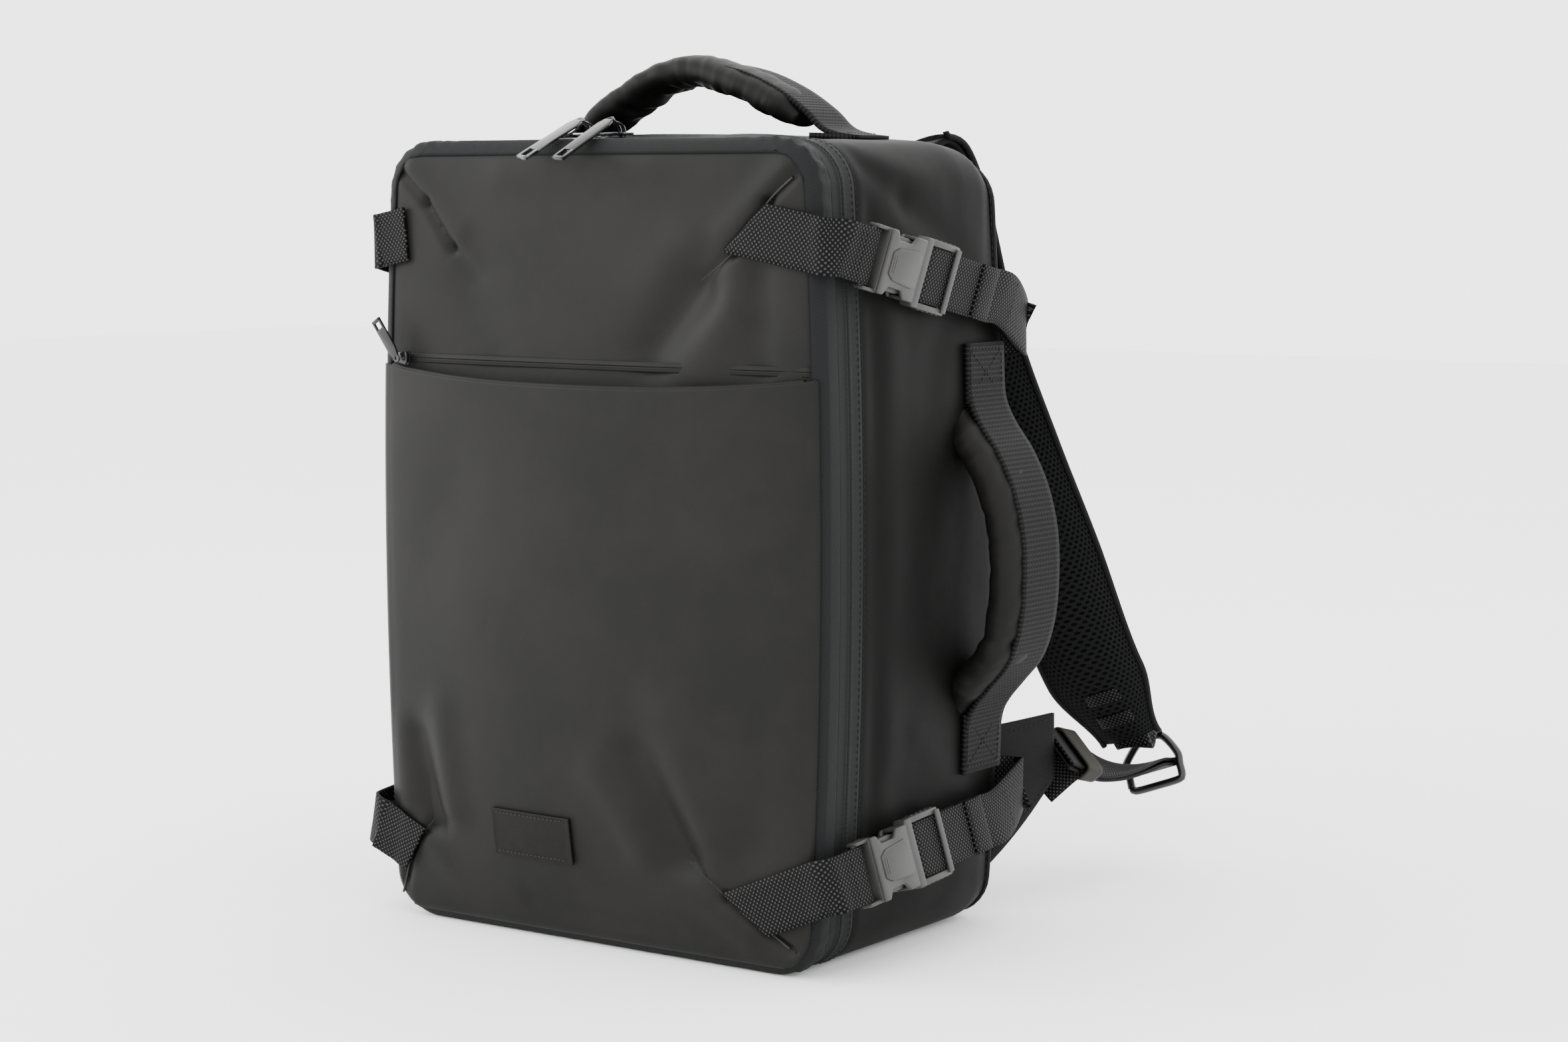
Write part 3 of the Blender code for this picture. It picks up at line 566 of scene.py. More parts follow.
def stitchRow(bm, line, ups, length=None, gap=None, wide=None):
    # one small thread lump for each stitch along a line; ups is one direction or a function of the point
    length, gap, wide = length or stitch["length"], gap or stitch["gap"], wide or stitch["wide"]
    spots = evenWalk(line, length + gap)
    for a, b in zip(spots, spots[1:]):
        centre, along = (a + b) / 2, (b - a).normalized()
        up = Vector(ups(centre) if callable(ups) else ups)
        across = up.cross(along)
        if across.length < 1e-4:
            continue
        across.normalize()
        up = along.cross(across)
        turn = Matrix((along * length / 2, across * wide / 2, up * stitch["high"] / 2)).transposed().to_4x4()
        bmesh.ops.create_icosphere(bm, subdivisions=1, radius=1.0, matrix=Matrix.Translation(centre) @ turn)


def addTo(bm, other):
    # joins the second bmesh to the first and frees it
    spare = bpy.data.meshes.new("spare")
    other.to_mesh(spare)
    other.free()
    bm.from_mesh(spare)
    bpy.data.meshes.remove(spare)


def mirrorOver(bm, side):
    if side < 0:
        bmesh.ops.transform(bm, matrix=Matrix.Scale(-1.0, 4, (1, 0, 0)), verts=bm.verts)
        bmesh.ops.reverse_faces(bm, faces=bm.faces)
    return bm


def flipAcross(point, side):
    return Vector((point[0] * side, point[1], point[2]))


def clamp(value, low=0.0, high=1.0):
    return min(high, max(low, value))


def ease(value):
    value = clamp(value)
    return value * value * (3 - 2 * value)


def foldDepth(point, folds):
    # sum of soft ridges and valleys, each along a line that fades towards its end
    total = 0.0
    for start, end, width, depth, fade in folds:
        dx, dy = end[0] - start[0], end[1] - start[1]
        px, py = point[0] - start[0], point[1] - start[1]
        reach = dx * dx + dy * dy
        t = clamp((px * dx + py * dy) / reach) if reach else 0.0
        away = (px - dx * t) ** 2 + (py - dy * t) ** 2
        if away > 9 * width * width:
            continue
        total += depth * (1.0 - fade * t) * math.exp(-away / (width * width))
    return total


# the bag's outline and faces, in millimetres
bag = {"width": 290.0, "height": 440.0, "bow": 8.0, "corner": 26.0, "seamY": -94.0, "backY": 94.0,
       "lidBulge": 9.0, "pocketBulge": 9.0, "pocketTop": 312.0, "pocketFoot": 14.0, "pocketCloth": 2.4}


def halfWidth(z, inset=0.0):
    middle = bag["height"] / 2
    return bag["width"] / 2 - inset + bag["bow"] * (1.0 - ((z - middle) / middle) ** 2)


# lengths along half the outline: half the base, a corner, a side, a corner, half the top
ringLengths = {"base": 119.0, "corner": 41.0, "side": 388.0, "top": 119.0}
ringTotal = 2 * (ringLengths["base"] + ringLengths["side"] + ringLengths["top"] + 2 * ringLengths["corner"])


def ringPoint(s, inset=0.0, top=None, bottom=None, rise=0.0):
    # a point on the bag's rounded outline: s runs from the middle of the base up the +X side and round
    top = inset if top is None else top
    bottom = inset if bottom is None else bottom
    radius = max(6.0, bag["corner"] - inset)
    low, high = bottom, bag["height"] - top
    s = s % 1.0
    side = 1.0 if s <= 0.5 else -1.0
    d = min(s, 1.0 - s) * ringTotal
    foot = halfWidth(low + radius, inset) - radius
    span = halfWidth(high - radius, inset) - radius
    base, corner, upright, head = (ringLengths[k] for k in ("base", "corner", "side", "top"))
    if d < base:
        return side * foot * d / base, low
    d -= base
    if d < corner:
        turn = math.radians(-90.0 + 90.0 * d / corner)
        z = low + radius + radius * math.sin(turn)
        return side * (halfWidth(z, inset) - radius + radius * math.cos(turn)), z
    d -= corner
    if d < upright:
        z = low + radius + (high - low - 2 * radius) * d / upright
        return side * halfWidth(z, inset), z
    d -= upright
    if d < corner:
        turn = math.radians(90.0 * d / corner)
        z = high - radius + radius * math.sin(turn)
        return side * (halfWidth(z, inset) - radius + radius * math.cos(turn)), z
    d -= corner
    u = 1.0 - d / head
    return side * span * u, high + rise * (1.0 - u * u)


def ringOut(s):
    # the outward direction at s, in X and Z
    ax, az = ringPoint(s - 0.002, 0.0)
    bx, bz = ringPoint(s + 0.002, 0.0)
    along = Vector((bx - ax, 0, bz - az)).normalized()
    return Vector((along.z, 0, -along.x))


def lidFace(x, z):
    across = 1.0 - (x / halfWidth(z)) ** 2
    upright = math.sin(math.pi * clamp(z / bag["height"])) ** 0.6
    return bag["seamY"] - 2.0 - bag["lidBulge"] * max(0.0, across) * upright


def pocketFace(x, z):
    across = max(0.0, 1.0 - (x / (halfWidth(z) - 8.0)) ** 2)
    foot = bag["pocketFoot"]
    upright = math.sin(math.pi / 2 * min(1.0, (z - foot) / 110.0)) if z > foot else 0.0
    return lidFace(x, z) - 0.8 - bag["pocketBulge"] * across ** 0.8 * upright


def cornerCut(z, low, high, radius):
    away = min(z - low, high - z)
    return 0.0 if away >= radius else radius - math.sqrt(max(0.0, radius ** 2 - (radius - away) ** 2))


def easedHeight(v, low, high, strength=0.55):
    return low + (high - low) * (v - strength * math.sin(2 * math.pi * v) / (2 * math.pi))


# the tub: sides, top, base and the rounded back edge, in one piece of coated fabric
tub = {"columns": 236, "rows": 42, "cloth": 1.4, "belly": 1.6}
# depth, then how far the sides, the top and the base stand in, and the rise of the top's middle
tubRows = ((-71.7, 2.0, 2.0, 2.0, 0.0), (-61.0, 1.6, 1.6, 1.6, 0.0), (-57.0, 0.2, 0.2, 0.0, 2.0),
           (-20.0, 0.0, 0.0, 0.0, 5.0), (45.0, 0.0, 0.0, 0.0, 5.0), (68.0, 1.0, 3.0, 0.0, 4.0),
           (83.0, 5.0, 13.0, 4.0, 2.0), (91.0, 11.0, 25.0, 9.0, 0.0), (94.0, 18.0, 38.0, 16.0, 0.0))
# folds on each side: start, end, width, depth and fade, in depth (Y) and height
sideFolds = [((-50.0, 400.0), (-50.0, 60.0), 8.0, -1.7, 0.2),
             ((-34.0, 380.0), (-36.0, 90.0), 13.0, 1.3, 0.0),
             ((-58.0, 432.0), (-16.0, 408.0), 6.0, -2.2, 0.3),
             ((-16.0, 408.0), (52.0, 372.0), 8.0, -2.0, 0.7),
             ((-40.0, 432.0), (20.0, 414.0), 8.0, 1.6, 0.5), ((-20.0, 392.0), (50.0, 356.0), 9.0, 1.3,
                                                              0.5),
             ((84.0, 420.0), (60.0, 330.0), 9.0, -1.4, 0.8), ((20.0, 340.0), (64.0, 352.0), 9.0, -1.3,
                                                              0.6),
             ((-30.0, 92.0), (30.0, 40.0), 12.0, -1.4, 0.7), ((-44.0, 40.0), (20.0, 18.0), 9.0, -1.3, 0.7),
             ((10.0, 330.0), (-4.0, 240.0), 12.0, -1.0, 0.8),
             ((80.0, 300.0), (84.0, 120.0), 8.0, 1.0, 0.4), ((62.0, 88.0), (86.0, 150.0), 10.0, -1.5, 0.7),
             ((-8.0, 120.0), (30.0, 88.0), 9.0, 1.0, 0.6)]
topFolds = [((-90.0, -30.0), (-60.0, 60.0), 10.0, -1.2, 0.6), ((100.0, -46.0), (70.0, 40.0), 12.0, -1.6, 0.7),
            ((20.0, -50.0), (40.0, 10.0), 12.0, -0.9, 0.8), ((-20.0, 40.0), (-60.0, 78.0), 9.0, -1.0, 0.6)]


def tubSection(y):
    for a, b in zip(tubRows, tubRows[1:]):
        if y <= b[0]:
            f = clamp((y - a[0]) / (b[0] - a[0]))
            if a[0] >= 45.0:  # the back edge is round, not in flats
                f = 1.0 - math.sqrt(max(0.0, 1.0 - f * f)) * 0.35 - 0.65 * (1.0 - f)
            return [p + (q - p) * f for p, q in zip(a[1:], b[1:])]
    return tubRows[-1][1:]


def tubPoint(s, y, sink=0.0):
    inset, top, bottom, rise = tubSection(y)
    x, z = ringPoint(s, inset + sink, top + sink, bottom + sink, rise)
    depth = 0.0
    onSide = clamp((abs(x) - 118.0) / 14.0) * clamp((z - 6.0) / 20.0) * clamp((446.0 - z) / 20.0)
    if onSide:
        depth += onSide * foldDepth((y, z), sideFolds)
        swell = math.sin(math.pi * clamp((y + 60.0) / 150.0)) * (0.6 + 0.4 * math.sin(z / 47.0))
        depth += onSide * tub["belly"] * swell
    if z > 425.0:
        depth += clamp((z - 425.0) / 10.0) * foldDepth((x, y), topFolds)
    ripple = noise.noise(Vector((x * 0.021, y * 0.03, z * 0.017))) * 0.8
    fade = clamp((y + 57.0) / 10.0) * clamp((92.0 - y) / 12.0)
    if z < 12.0:
        fade *= 0.15
    out = ringOut(s)
    return Vector((x, y, z)) + out * (depth * fade + ripple * fade)


def makeTub():
    first, last = tubRows[0][0], tubRows[-1][0]
    bm = sheetGrid(tub["columns"], tub["rows"], lambda u, v: tubPoint(u, first + (last - first) * v),
                   (ringTotal, 190.0))
    closeSeam(bm)
    finishPiece("tubShell", bm, "coatedSide", "bag", ["body_shell"], thick=tub["cloth"], side=-1.0, rounds=1)
    # back face inside the round edge
    def back(u, v):
        z = easedHeight(v, 15.0, 403.0)
        wide = halfWidth(z, 17.0) - cornerCut(z, 15.0, 403.0, 24.0)
        x = (2 * u - 1) * wide
        near = min(z - 15.0, 403.0 - z, halfWidth(z, 17.0) - abs(x))
        return Vector((x, bag["backY"] - 0.4 + 0.5 * ease(near / 20.0), z))
    bm = sheetGrid(48, 70, back, (256.0, 388.0))
    finishPiece("backFace", bm, "coatedSide", "bag", thick=1.4, side=-1.0)
    # bound seam round the back edge, with its stitches
    line = []
    for i in range(361):
        x, z = ringPoint(i / 360, 4.2, 11.6, 3.4)
        line.append(Vector((x, 81.5, z)) + ringOut(i / 360) * 0.6)
    bm = roundTube(line, 1.9, step=5.0, sides=8, squash=0.75, up=(0, 1, 0.01), closed=True)
    finishPiece("backEdgeBinding", bm, "trim", "bag")
    bm = bmesh.new()
    line = []
    for i in range(40, 321):
        x, z = ringPoint(i / 360, 2.4, 7.0, 2.0)
        line.append(Vector((x, 76.5, z)) + ringOut(i / 360) * 0.7)
    stitchRow(bm, line, lambda p: Vector((p.x / 150.0, 0.0, (p.z - 220) / 330.0)), 3.0, 1.3, 0.5)
    finishPiece("backEdgeStitches", bm, "thread", "bag", sharp=None)


# linings, seen when the lid is open
def makeLinings():
    def wall(u, v):
        y = -71.4 + 149.0 * v
        x, z = ringPoint(u, 6.4 + 2.0 * v, 9.5 + 14.0 * ease((v - 0.6) / 0.4), 4.6)
        soft = noise.noise(Vector((x, y, z)) * 0.022) * 1.2 * ease(v * 6) * (0.0 if z < 12 else 1.0)
        return Vector((x, y, z)) - ringOut(u) * abs(soft)
    bm = closeSeam(sheetGrid(180, 24, wall, (1380.0, 149.0)))
    finishPiece("tubLining", bm, "lining", "bag", thick=0.6, side=0.0)

    def rear(u, v):
        z = easedHeight(v, 6.0, 414.0)
        wide = halfWidth(z, 9.0) - cornerCut(z, 6.0, 414.0, 20.0)
        x = (2 * u - 1) * wide
        near = min(z - 6.0, 414.0 - z, halfWidth(z, 9.0) - abs(x))
        return Vector((x, 79.6 - 2.6 * ease(near / 12.0) - 0.8 * noise.noise(Vector((x, z, 3)) * 0.02), z))
    bm = sheetGrid(48, 70, rear, (272.0, 408.0))
    finishPiece("rearLining", bm, "lining", "bag", ["frame_sheet"], thick=0.6)
    bm = bmesh.new()
    plate(bm, roundedOutline(238.0, 126.0, 8.0), 4.6, 7.4, Matrix.Translation((0, -4, 0)), 0.9)
    finishPiece("baseBoardCover", bm, "lining", "bag", ["base_board"])

    # laptop sleeve: a padded sheet with a bound top edge and an elastic tab
    def sleeve(u, v):
        z = 12.0 + 286.0 * v
        y = 60.0 - 12.0 * (v ** 1.2)
        near = min(1.0, min(u, 1 - u) * 14, v * 16, (1 - v) * 18)
        return Vector(((2 * u - 1) * (127.0 - 1.5 * (1 - near)), y - 1.6 * ease(near)
                       - 1.0 * math.sin(math.pi * u) * v, z))
    bm = sheetGrid(50, 56, sleeve, (254.0, 288.0))
    finishPiece("laptopSleeve", bm, "lining", "bag", ["laptop_sleeve"], thick=4.2, side=0.0)
    line = [sleeve(i / 40, 1.0) + Vector((0, 1.5, 0.4)) for i in range(41)]
    finishPiece("laptopSleeveBinding", roundTube(line, 2.6, 5.0, 8, 0.8, up=(0, 1, 0)), "trim", "bag")
    tab = [(0, 57, 276), (0, 45.5, 285), (0, 44.0, 300), (0, 60.0, 306), (0, 76.0, 300)]
    bm = strapBand(tab, [(1, 0, 0)] * len(tab), 38.0, 3.0)
    finishPiece("laptopTab", bm, "trim", "bag", thick=1.6, side=0.0)

    def lidWall(u, v):
        y = -73.0 - 16.5 * v
        x, z = ringPoint(u, 8.2)
        return Vector((x, y, z))
    bm = closeSeam(sheetGrid(180, 5, lidWall, (1380.0, 17.0)))
    finishPiece("lidWallLining", bm, "lining", "lid", thick=0.5)

    def lidFaceLining(u, v):
        z = easedHeight(v, 8.2, 431.8)
        wide = halfWidth(z, 8.2) - cornerCut(z, 8.2, 431.8, 18.0)
        x = (2 * u - 1) * wide
        near = min(z - 8.2, 431.8 - z, halfWidth(z, 8.2) - abs(x))
        puff = 0.8 * noise.noise(Vector((x, z, 9)) * 0.025)
        hollow = (abs(lidFace(x, z)) - 96.0) * 0.85 * ease(near / 30.0)
        return Vector((x, -89.3 - hollow + puff * ease(near / 20), z))
    bm = sheetGrid(50, 76, lidFaceLining, (274.0, 424.0))
    finishPiece("lidFaceLining", bm, "lining", "lid", thick=0.5)

    # zipped mesh divider in the lid
    def divider(u, v):
        z = easedHeight(v, 16.0, 424.0)
        wide = halfWidth(z, 15.0) - cornerCut(z, 16.0, 424.0, 18.0)
        return Vector(((2 * u - 1) * wide, -84.5 - 0.9 * math.sin(math.pi * u) * math.sin(math.pi * v), z))
    bm = sheetGrid(40, 60, divider, (260.0, 408.0))
    finishPiece("lidDivider", bm, "mesh", "lid", thick=0.4)
    line = [divider(0.0, i / 30) for i in range(31)] + [divider(i / 20, 1.0) for i in range(1, 21)]
    line += [divider(1.0, 1 - i / 30) for i in range(1, 31)]
    finishPiece("lidDividerBinding", roundTube(line, 2.2, 4.0, 8, 0.6, up=(0, 1, 0)), "trim", "lid")


# front panel: a pillow with a dart at each corner, and the soft hollows that spread from the darts
panel = {"columns": 124, "rows": 184, "low": 3.0, "high": 437.0, "inset": 3.0, "cloth": 1.4}
# start, end, width, depth (positive stands out), fade
dartFolds = [
    # upper right
    ((140.0, 427.0), (117.0, 407.0), 3.2, -3.0, 0.0), ((117.0, 407.0), (97.0, 382.0), 3.0, -3.2, 0.0),
    ((97.0, 382.0), (75.0, 365.0), 3.0, -2.6, 0.6), ((128.0, 424.0), (92.0, 392.0), 9.0, 2.4, 0.3),
    ((126.0, 396.0), (104.0, 372.0), 8.0, 1.4, 0.4), ((74.0, 363.0), (46.0, 330.0), 13.0, -7.0, 0.3),
    ((96.0, 350.0), (76.0, 322.0), 15.0, 3.6, 0.5), ((66.0, 385.0), (40.0, 362.0), 16.0, 1.6, 0.6),
    ((112.0, 372.0), (116.0, 322.0), 10.0, -3.6, 0.4),
    # lower right
    ((140.0, 12.0), (119.0, 24.5), 3.2, -3.0, 0.0), ((119.0, 24.5), (94.0, 40.0), 3.0, -3.2, 0.0),
    ((94.0, 40.0), (71.0, 57.5), 3.0, -2.6, 0.6), ((126.0, 10.0), (92.0, 32.0), 8.0, 2.0, 0.3),
    # upper left
    ((-140.0, 427.0), (-117.0, 407.0), 3.2, -3.0, 0.0), ((-117.0, 407.0), (-97.0, 382.0), 3.0, -3.2, 0.0),
    ((-97.0, 382.0), (-75.0, 365.0), 3.0, -2.2, 0.9), ((-128.0, 424.0), (-92.0, 392.0), 9.0, 2.0, 0.3),
    ((-80.0, 362.0), (-64.0, 330.0), 18.0, -2.2, 0.6),
    # lower left
    ((-140.0, 12.0), (-129.0, 42.0), 3.2, -2.4, 0.0), ((-119.0, 24.5), (-114.0, 58.0), 3.0, -2.0, 0.5),
    # slack across the panel
    ((-60.0, 424.0), (40.0, 426.0), 12.0, 1.0, 0.4), ((120.0, 330.0), (136.0, 200.0), 16.0, 1.2, 0.4),
]
pocketFolds = [
    ((140.0, 12.0), (119.0, 24.5), 3.2, -3.0, 0.0), ((119.0, 24.5), (94.0, 40.0), 3.0, -3.4, 0.0),
    ((94.0, 40.0), (71.0, 57.5), 3.0, -2.8, 0.5), ((108.0, 20.0), (66.0, 46.0), 10.0, 2.4, 0.3),
    ((68.0, 60.0), (40.0, 112.0), 12.0, -7.6, 0.35), ((42.0, 64.0), (16.0, 100.0), 13.0, 3.2, 0.4),
    ((86.0, 76.0), (64.0, 134.0), 15.0, 3.8, 0.4), ((112.0, 70.0), (120.0, 130.0), 13.0, -2.2, 0.8),
    ((-140.0, 10.0), (-130.0, 40.0), 3.4, -2.6, 0.0), ((-130.0, 40.0), (-112.0, 58.0), 3.0, -3.0, 0.0),
    ((-110.0, 60.0), (-122.0, 106.0), 9.0, -6.6, 0.4), ((-94.0, 68.0), (-102.0, 122.0), 11.0, 3.4, 0.5),
    ((-134.0, 70.0), (-138.0, 110.0), 9.0, 2.0, 0.6), ((-120.0, 50.0), (-100.0, 30.0), 8.0, 1.6, 0.6),
    ((60.0, 250.0), (120.0, 170.0), 26.0, -1.2, 0.6), ((-90.0, 250.0), (-120.0, 160.0), 24.0, -1.0, 0.6),
    ((-40.0, 22.0), (60.0, 18.0), 6.0, -1.0, 0.3),
]


def panelPoint(u, v):
    z = easedHeight(v, panel["low"], panel["high"])
    wide = halfWidth(z, panel["inset"]) - cornerCut(z, panel["low"], panel["high"], 23.0)
    x = (2 * u - 1) * wide
    near = min(z - panel["low"], panel["high"] - z, wide - abs(x))
    y = lidFace(x, z) + 2.6 * math.exp(-max(0.0, near) / 3.2)
    depth = foldDepth((x, z), dartFolds) if z > bag["pocketTop"] - 30 or abs(x) > 126 else 0.0
    depth += noise.noise(Vector((x * 0.012, 1.7, z * 0.012))) * 0.9
    return Vector((x, y - depth * ease(near / 8.0), z))


def pocketTopAt(x):
    return 308.6 + 7.5 * clamp(abs(x) / 148.0) ** 2.5


def pocketPoint(u, v):
    reach = easedHeight(v, 0.0, 1.0, 0.35)
    z = 5.0 + (310.0 - 5.0) * reach
    wide = halfWidth(z, panel["inset"] - 0.2) - cornerCut(z, 4.0, 700.0, 21.0)
    x = (2 * u - 1) * wide
    z = 5.0 + (pocketTopAt(x) - 5.0) * reach
    near = min(z - 5.0, wide - abs(x))
    y = min(lidFace(x, z), pocketFace(x, z)) - bag["pocketCloth"] * 0.5
    y += 2.2 * math.exp(-max(0.0, near) / 3.0)
    depth = foldDepth((x, z), pocketFolds) + noise.noise(Vector((x * 0.011, 4.2, z * 0.011))) * 1.0
    return Vector((x, y - depth * ease(near / 8.0), z))


def makeFrontPanel():
    bm = sheetGrid(panel["columns"], panel["rows"], panelPoint, (290.0, 434.0))
    finishPiece("frontPanel", bm, "coated", "lid", ["front_panel"], thick=panel["cloth"], side=-1.0)
    bm = sheetGrid(panel["columns"], 128, pocketPoint, (290.0, 306.0))
    pocket = finishPiece("slipPocket", bm, "coated", "lid", ["slip_pocket"], thick=1.6, side=0.0)
    # turned hem along the mouth
    line = [pocketPoint(i / 120, 1.0) + Vector((0, 0.9, -0.2)) for i in range(3, 118)]
    finishPiece("pocketMouthHem", roundTube(line, 1.5, 3.0, 10, 1.0, up=(0, 1, 0)), "coated", "lid")
    return pocket


# the seams that show, each with whether it lies on the pocket
dartSeams = (([(132, 420), (117, 407), (97, 382), (76, 366)], False),
             ([(132, 16.5), (119, 24.5), (94, 40), (72, 57)], True),
             ([(-140, 12), (-130, 40), (-112, 58)], True))


def makeDartSeams():
    # dark seam in the bottom of each dart, with its thread
    bm = bmesh.new()
    seam = bmesh.new()
    for path, onPocket in dartSeams:
        dense = [curvePoint([Vector((x, 0, z)) for x, z in path], i / 30) for i in range(31)]
        line = []
        for p in dense:
            y = min(lidFace(p.x, p.z), pocketFace(p.x, p.z)) - 1.2 if onPocket else lidFace(p.x, p.z)
            line.append(Vector((p.x, y + 0.9, p.z)))
        stitchRow(bm, line, (0, -1, 0), 2.4, 1.2, 0.6)
        addTo(seam, roundTube(line, lambda u: 0.75 * (1.0 - 0.8 * u), 3.0, 6, 1.0, up=(0, 1, 0.01)))
    finishPiece("dartThreads", bm, "thread", "lid", sharp=None)
    finishPiece("dartSeams", seam, "darkLining", "lid", sharp=None)


# zip flap: a soft twill roll round the panel, gathered at the corners
flap = {"columns": 520, "rows": 18, "cloth": 0.9, "gather": 1.1, "lip": 6.4}


def cornerShare(s):
    # 1 in the middle of each rounded corner, 0 on the straights
    low = ringLengths["base"] + ringLengths["corner"] / 2
    high = ringTotal / 2 - ringLengths["top"] - ringLengths["corner"] / 2
    marks = [low, high, ringTotal - low, ringTotal - high]
    return max(math.exp(-((s * ringTotal - m) / 34.0) ** 2) for m in marks)


def flapPoint(u, v):
    turn = -1.25 + 2.55 * v  # from the panel seam over the roll to the zip
    y = -88.4 + 7.0 * math.sin(turn) * (1.0 if turn < 0 else 1.05)
    out = 1.1 * math.cos(turn) - 0.2 - 2.6 * clamp(-turn - 0.6) - 1.6 * clamp(turn - 0.7)
    gather = cornerShare(u) * flap["gather"] * math.cos(turn)
    wrinkle = math.sin(u * ringTotal * 0.62) * 0.6
    wrinkle += noise.noise(Vector((u * ringTotal * 0.16, v * 2.0, 3.1))) * 1.2
    slack = noise.noise(Vector((u * ringTotal * 0.014, v * 1.5, 7.7))) * 0.5 * math.cos(turn)
    x, z = ringPoint(u, 0.0)
    lift = out + gather * wrinkle + slack
    if z < 3.0:
        lift = min(lift, 0.0)
    point = Vector((x, y + noise.noise(Vector((u * 70.0, 1.0, 0.0))) * 0.35, z)) + ringOut(u) * lift
    lip = ease(1.0 - v / 0.3)
    if lip > 0.0:
        x, z = ringPoint(u, flap["lip"] + 0.9 * wrinkle * cornerShare(u))
        point = point.lerp(Vector((x, lidFace(x, z) - 1.6 + 1.2 * lip, z)), lip)
    point.z = max(point.z, 0.0)
    return point


def makeFlap():
    bm = closeSeam(sheetGrid(flap["columns"], flap["rows"], flapPoint, (ringTotal, 18.0)))
    finishPiece("zipFlap", bm, "twill", "lid", ["zip_flap"], thick=flap["cloth"], side=-1.0)
    # thin cord in the seam between the panel and the flap
    line = []
    for i in range(361):
        x, z = ringPoint(i / 360, flap["lip"] + 0.4)
        line.append(Vector((x, lidFace(x, z) + 0.2, z)))
    bm = roundTube(line, 0.8, 4.0, 8, 1.0, up=(0, 1, 0.01), closed=True)
    finishPiece("panelSeamCord", bm, "trim", "lid")


# main zip: a half on the lid and a half on the bag, each a tape with its coil under the ribbed edge
mainZip = {"start": 0.062, "end": 0.938, "pitch": 1.3}


def makeMainZip():
    start, end = mainZip["start"], mainZip["end"]
    count = round((end - start) * ringTotal / mainZip["pitch"]) * 2

    def half(near, far, nearInset, farInset):
        def place(u, v):
            s = start + (end - start) * u
            coil = math.exp(-((v - 0.10) / 0.11) ** 2)
            tooth = 0.5 + 0.5 * math.sin(u * (end - start) * ringTotal * math.pi / mainZip["pitch"])
            x, z = ringPoint(s, nearInset + (farInset - nearInset) * v)
            return Vector((x, near + (far - near) * v, z)) + ringOut(s) * coil * (0.55 + 0.25 * tooth)
        return place
    for name, body, node, values in (("zipHalfLid", "lid", "zip_tape_front", (-72.15, -80.6, 1.3, 1.6)),
                                     ("zipHalfBag", "bag", "zip_tape_rear", (-71.85, -61.6, 1.3, 0.0))):
        bm = sheetGrid(count, 8, half(*values), ((end - start) * ringTotal, abs(values[1] - values[0])))
        finishPiece(name, bm, "zipTape", body, [node], thick=0.8, side=0.0)
    bm = bmesh.new()
    for y, inset in ((-63.4, -0.75), (-60.2, -0.7)):
        line = []
        for i in range(501):
            s = start + (end - start) * i / 500
            x, z = ringPoint(s, 0.35)
            line.append(Vector((x, y, z)) + ringOut(s) * (0.35 - inset * 0.5))
        stitchRow(bm, line, lambda p: Vector((p.x / 150.0, 0.0, (p.z - 220) / 330.0)), 2.6, 1.1, 0.5)
    finishPiece("zipStitches", bm, "thread", "bag", sharp=None)


# compression straps: on each side two straps, each with a side-release buckle
sides = {"right": 1.0, "left": -1.0}
straps = { "upper": {"mouth": (160.5, -27.0, 371.5), "run": (0.0, 0.98, -0.19), "twist": 11.0,
                     "dart": (104.0, 394.0), "cut": {"right": (104.0, 393.0, 0.679, -0.734),
                                                     "left": (130.0, 387.0, 0.995, -0.1)},
                     "hem": (154.0, 100.0, 337.0)}, "lower": {"mouth": (161.5, -33.0, 58.5),
                                                              "run": (0.0, 0.998, 0.07), "twist": -15.0,
                                                              "dart": (104.0, 31.0),
                                                              "cut": {"right": (104.0, 35.0, 0.55, 0.835),
                                                                      "left": (130.7, 31.0, 0.855, 0.517)},
                                                              "hem": (154.0, 100.0, 76.0)}, }
# root is the share of the way from the dart to the corner at which a front strap starts
strapWeb = {"width": 30.0, "thick": 1.5, "cornerU": -65.0, "root": {"right": 0.0, "left": 0.5}}


def strapFrame(strap):
    along = Vector(strap["run"]).normalized()
    out = Vector((1.0, 0.0, 0.0))
    across = out.cross(along).normalized()
    turn = math.radians(strap["twist"])
    lifted = across * math.cos(turn) + out * math.sin(turn)
    turned = Matrix((along, lifted, along.cross(lifted))).transposed().to_4x4()
    return Matrix.Translation(Vector(strap["mouth"])) @ turned


def frontSkin(x, z):
    if z < bag["pocketTop"]:
        return min(lidFace(x, z), pocketFace(x, z) - bag["pocketCloth"])
    return lidFace(x, z)


def frontStrapPath(strap, place, root):
    across = place.to_3x3() @ Vector((0, 1, 0))
    upright = Vector((0, 0, 1))
    turn = place @ Vector((strapWeb["cornerU"], 0, 0))
    dartX, dartZ = strap["dart"]
    path, ways = [], []
    for step in (0.0, 0.41, 0.78, 1.0):
        share = root + (0.92 - root) * step
        x = dartX + (turn.x - 3.0 - dartX) * share
        z = dartZ + (turn.z - dartZ) * share
        path.append(Vector((x, min(frontSkin(min(x, 139.0), z) - 2.2, -98.5), z)))
        ways.append(upright)
    back = (path[0] - path[1]).normalized()
    path.insert(0, path[0] + back * 24.0 + Vector((0, 1.6, 0)))
    ways.insert(0, upright)
    fold = [(-65.0, 0.0), (-57.0, 1.2), (-46.0, 1.9), (-39.6, 1.7), (-38.0, 0.0), (-39.6, -1.7),
            (-46.0, -1.9), (-52.0, -1.4)]
    path += [place @ Vector((u, 0, w)) for u, w in fold]
    ways += [across] * len(fold)
    return path, ways


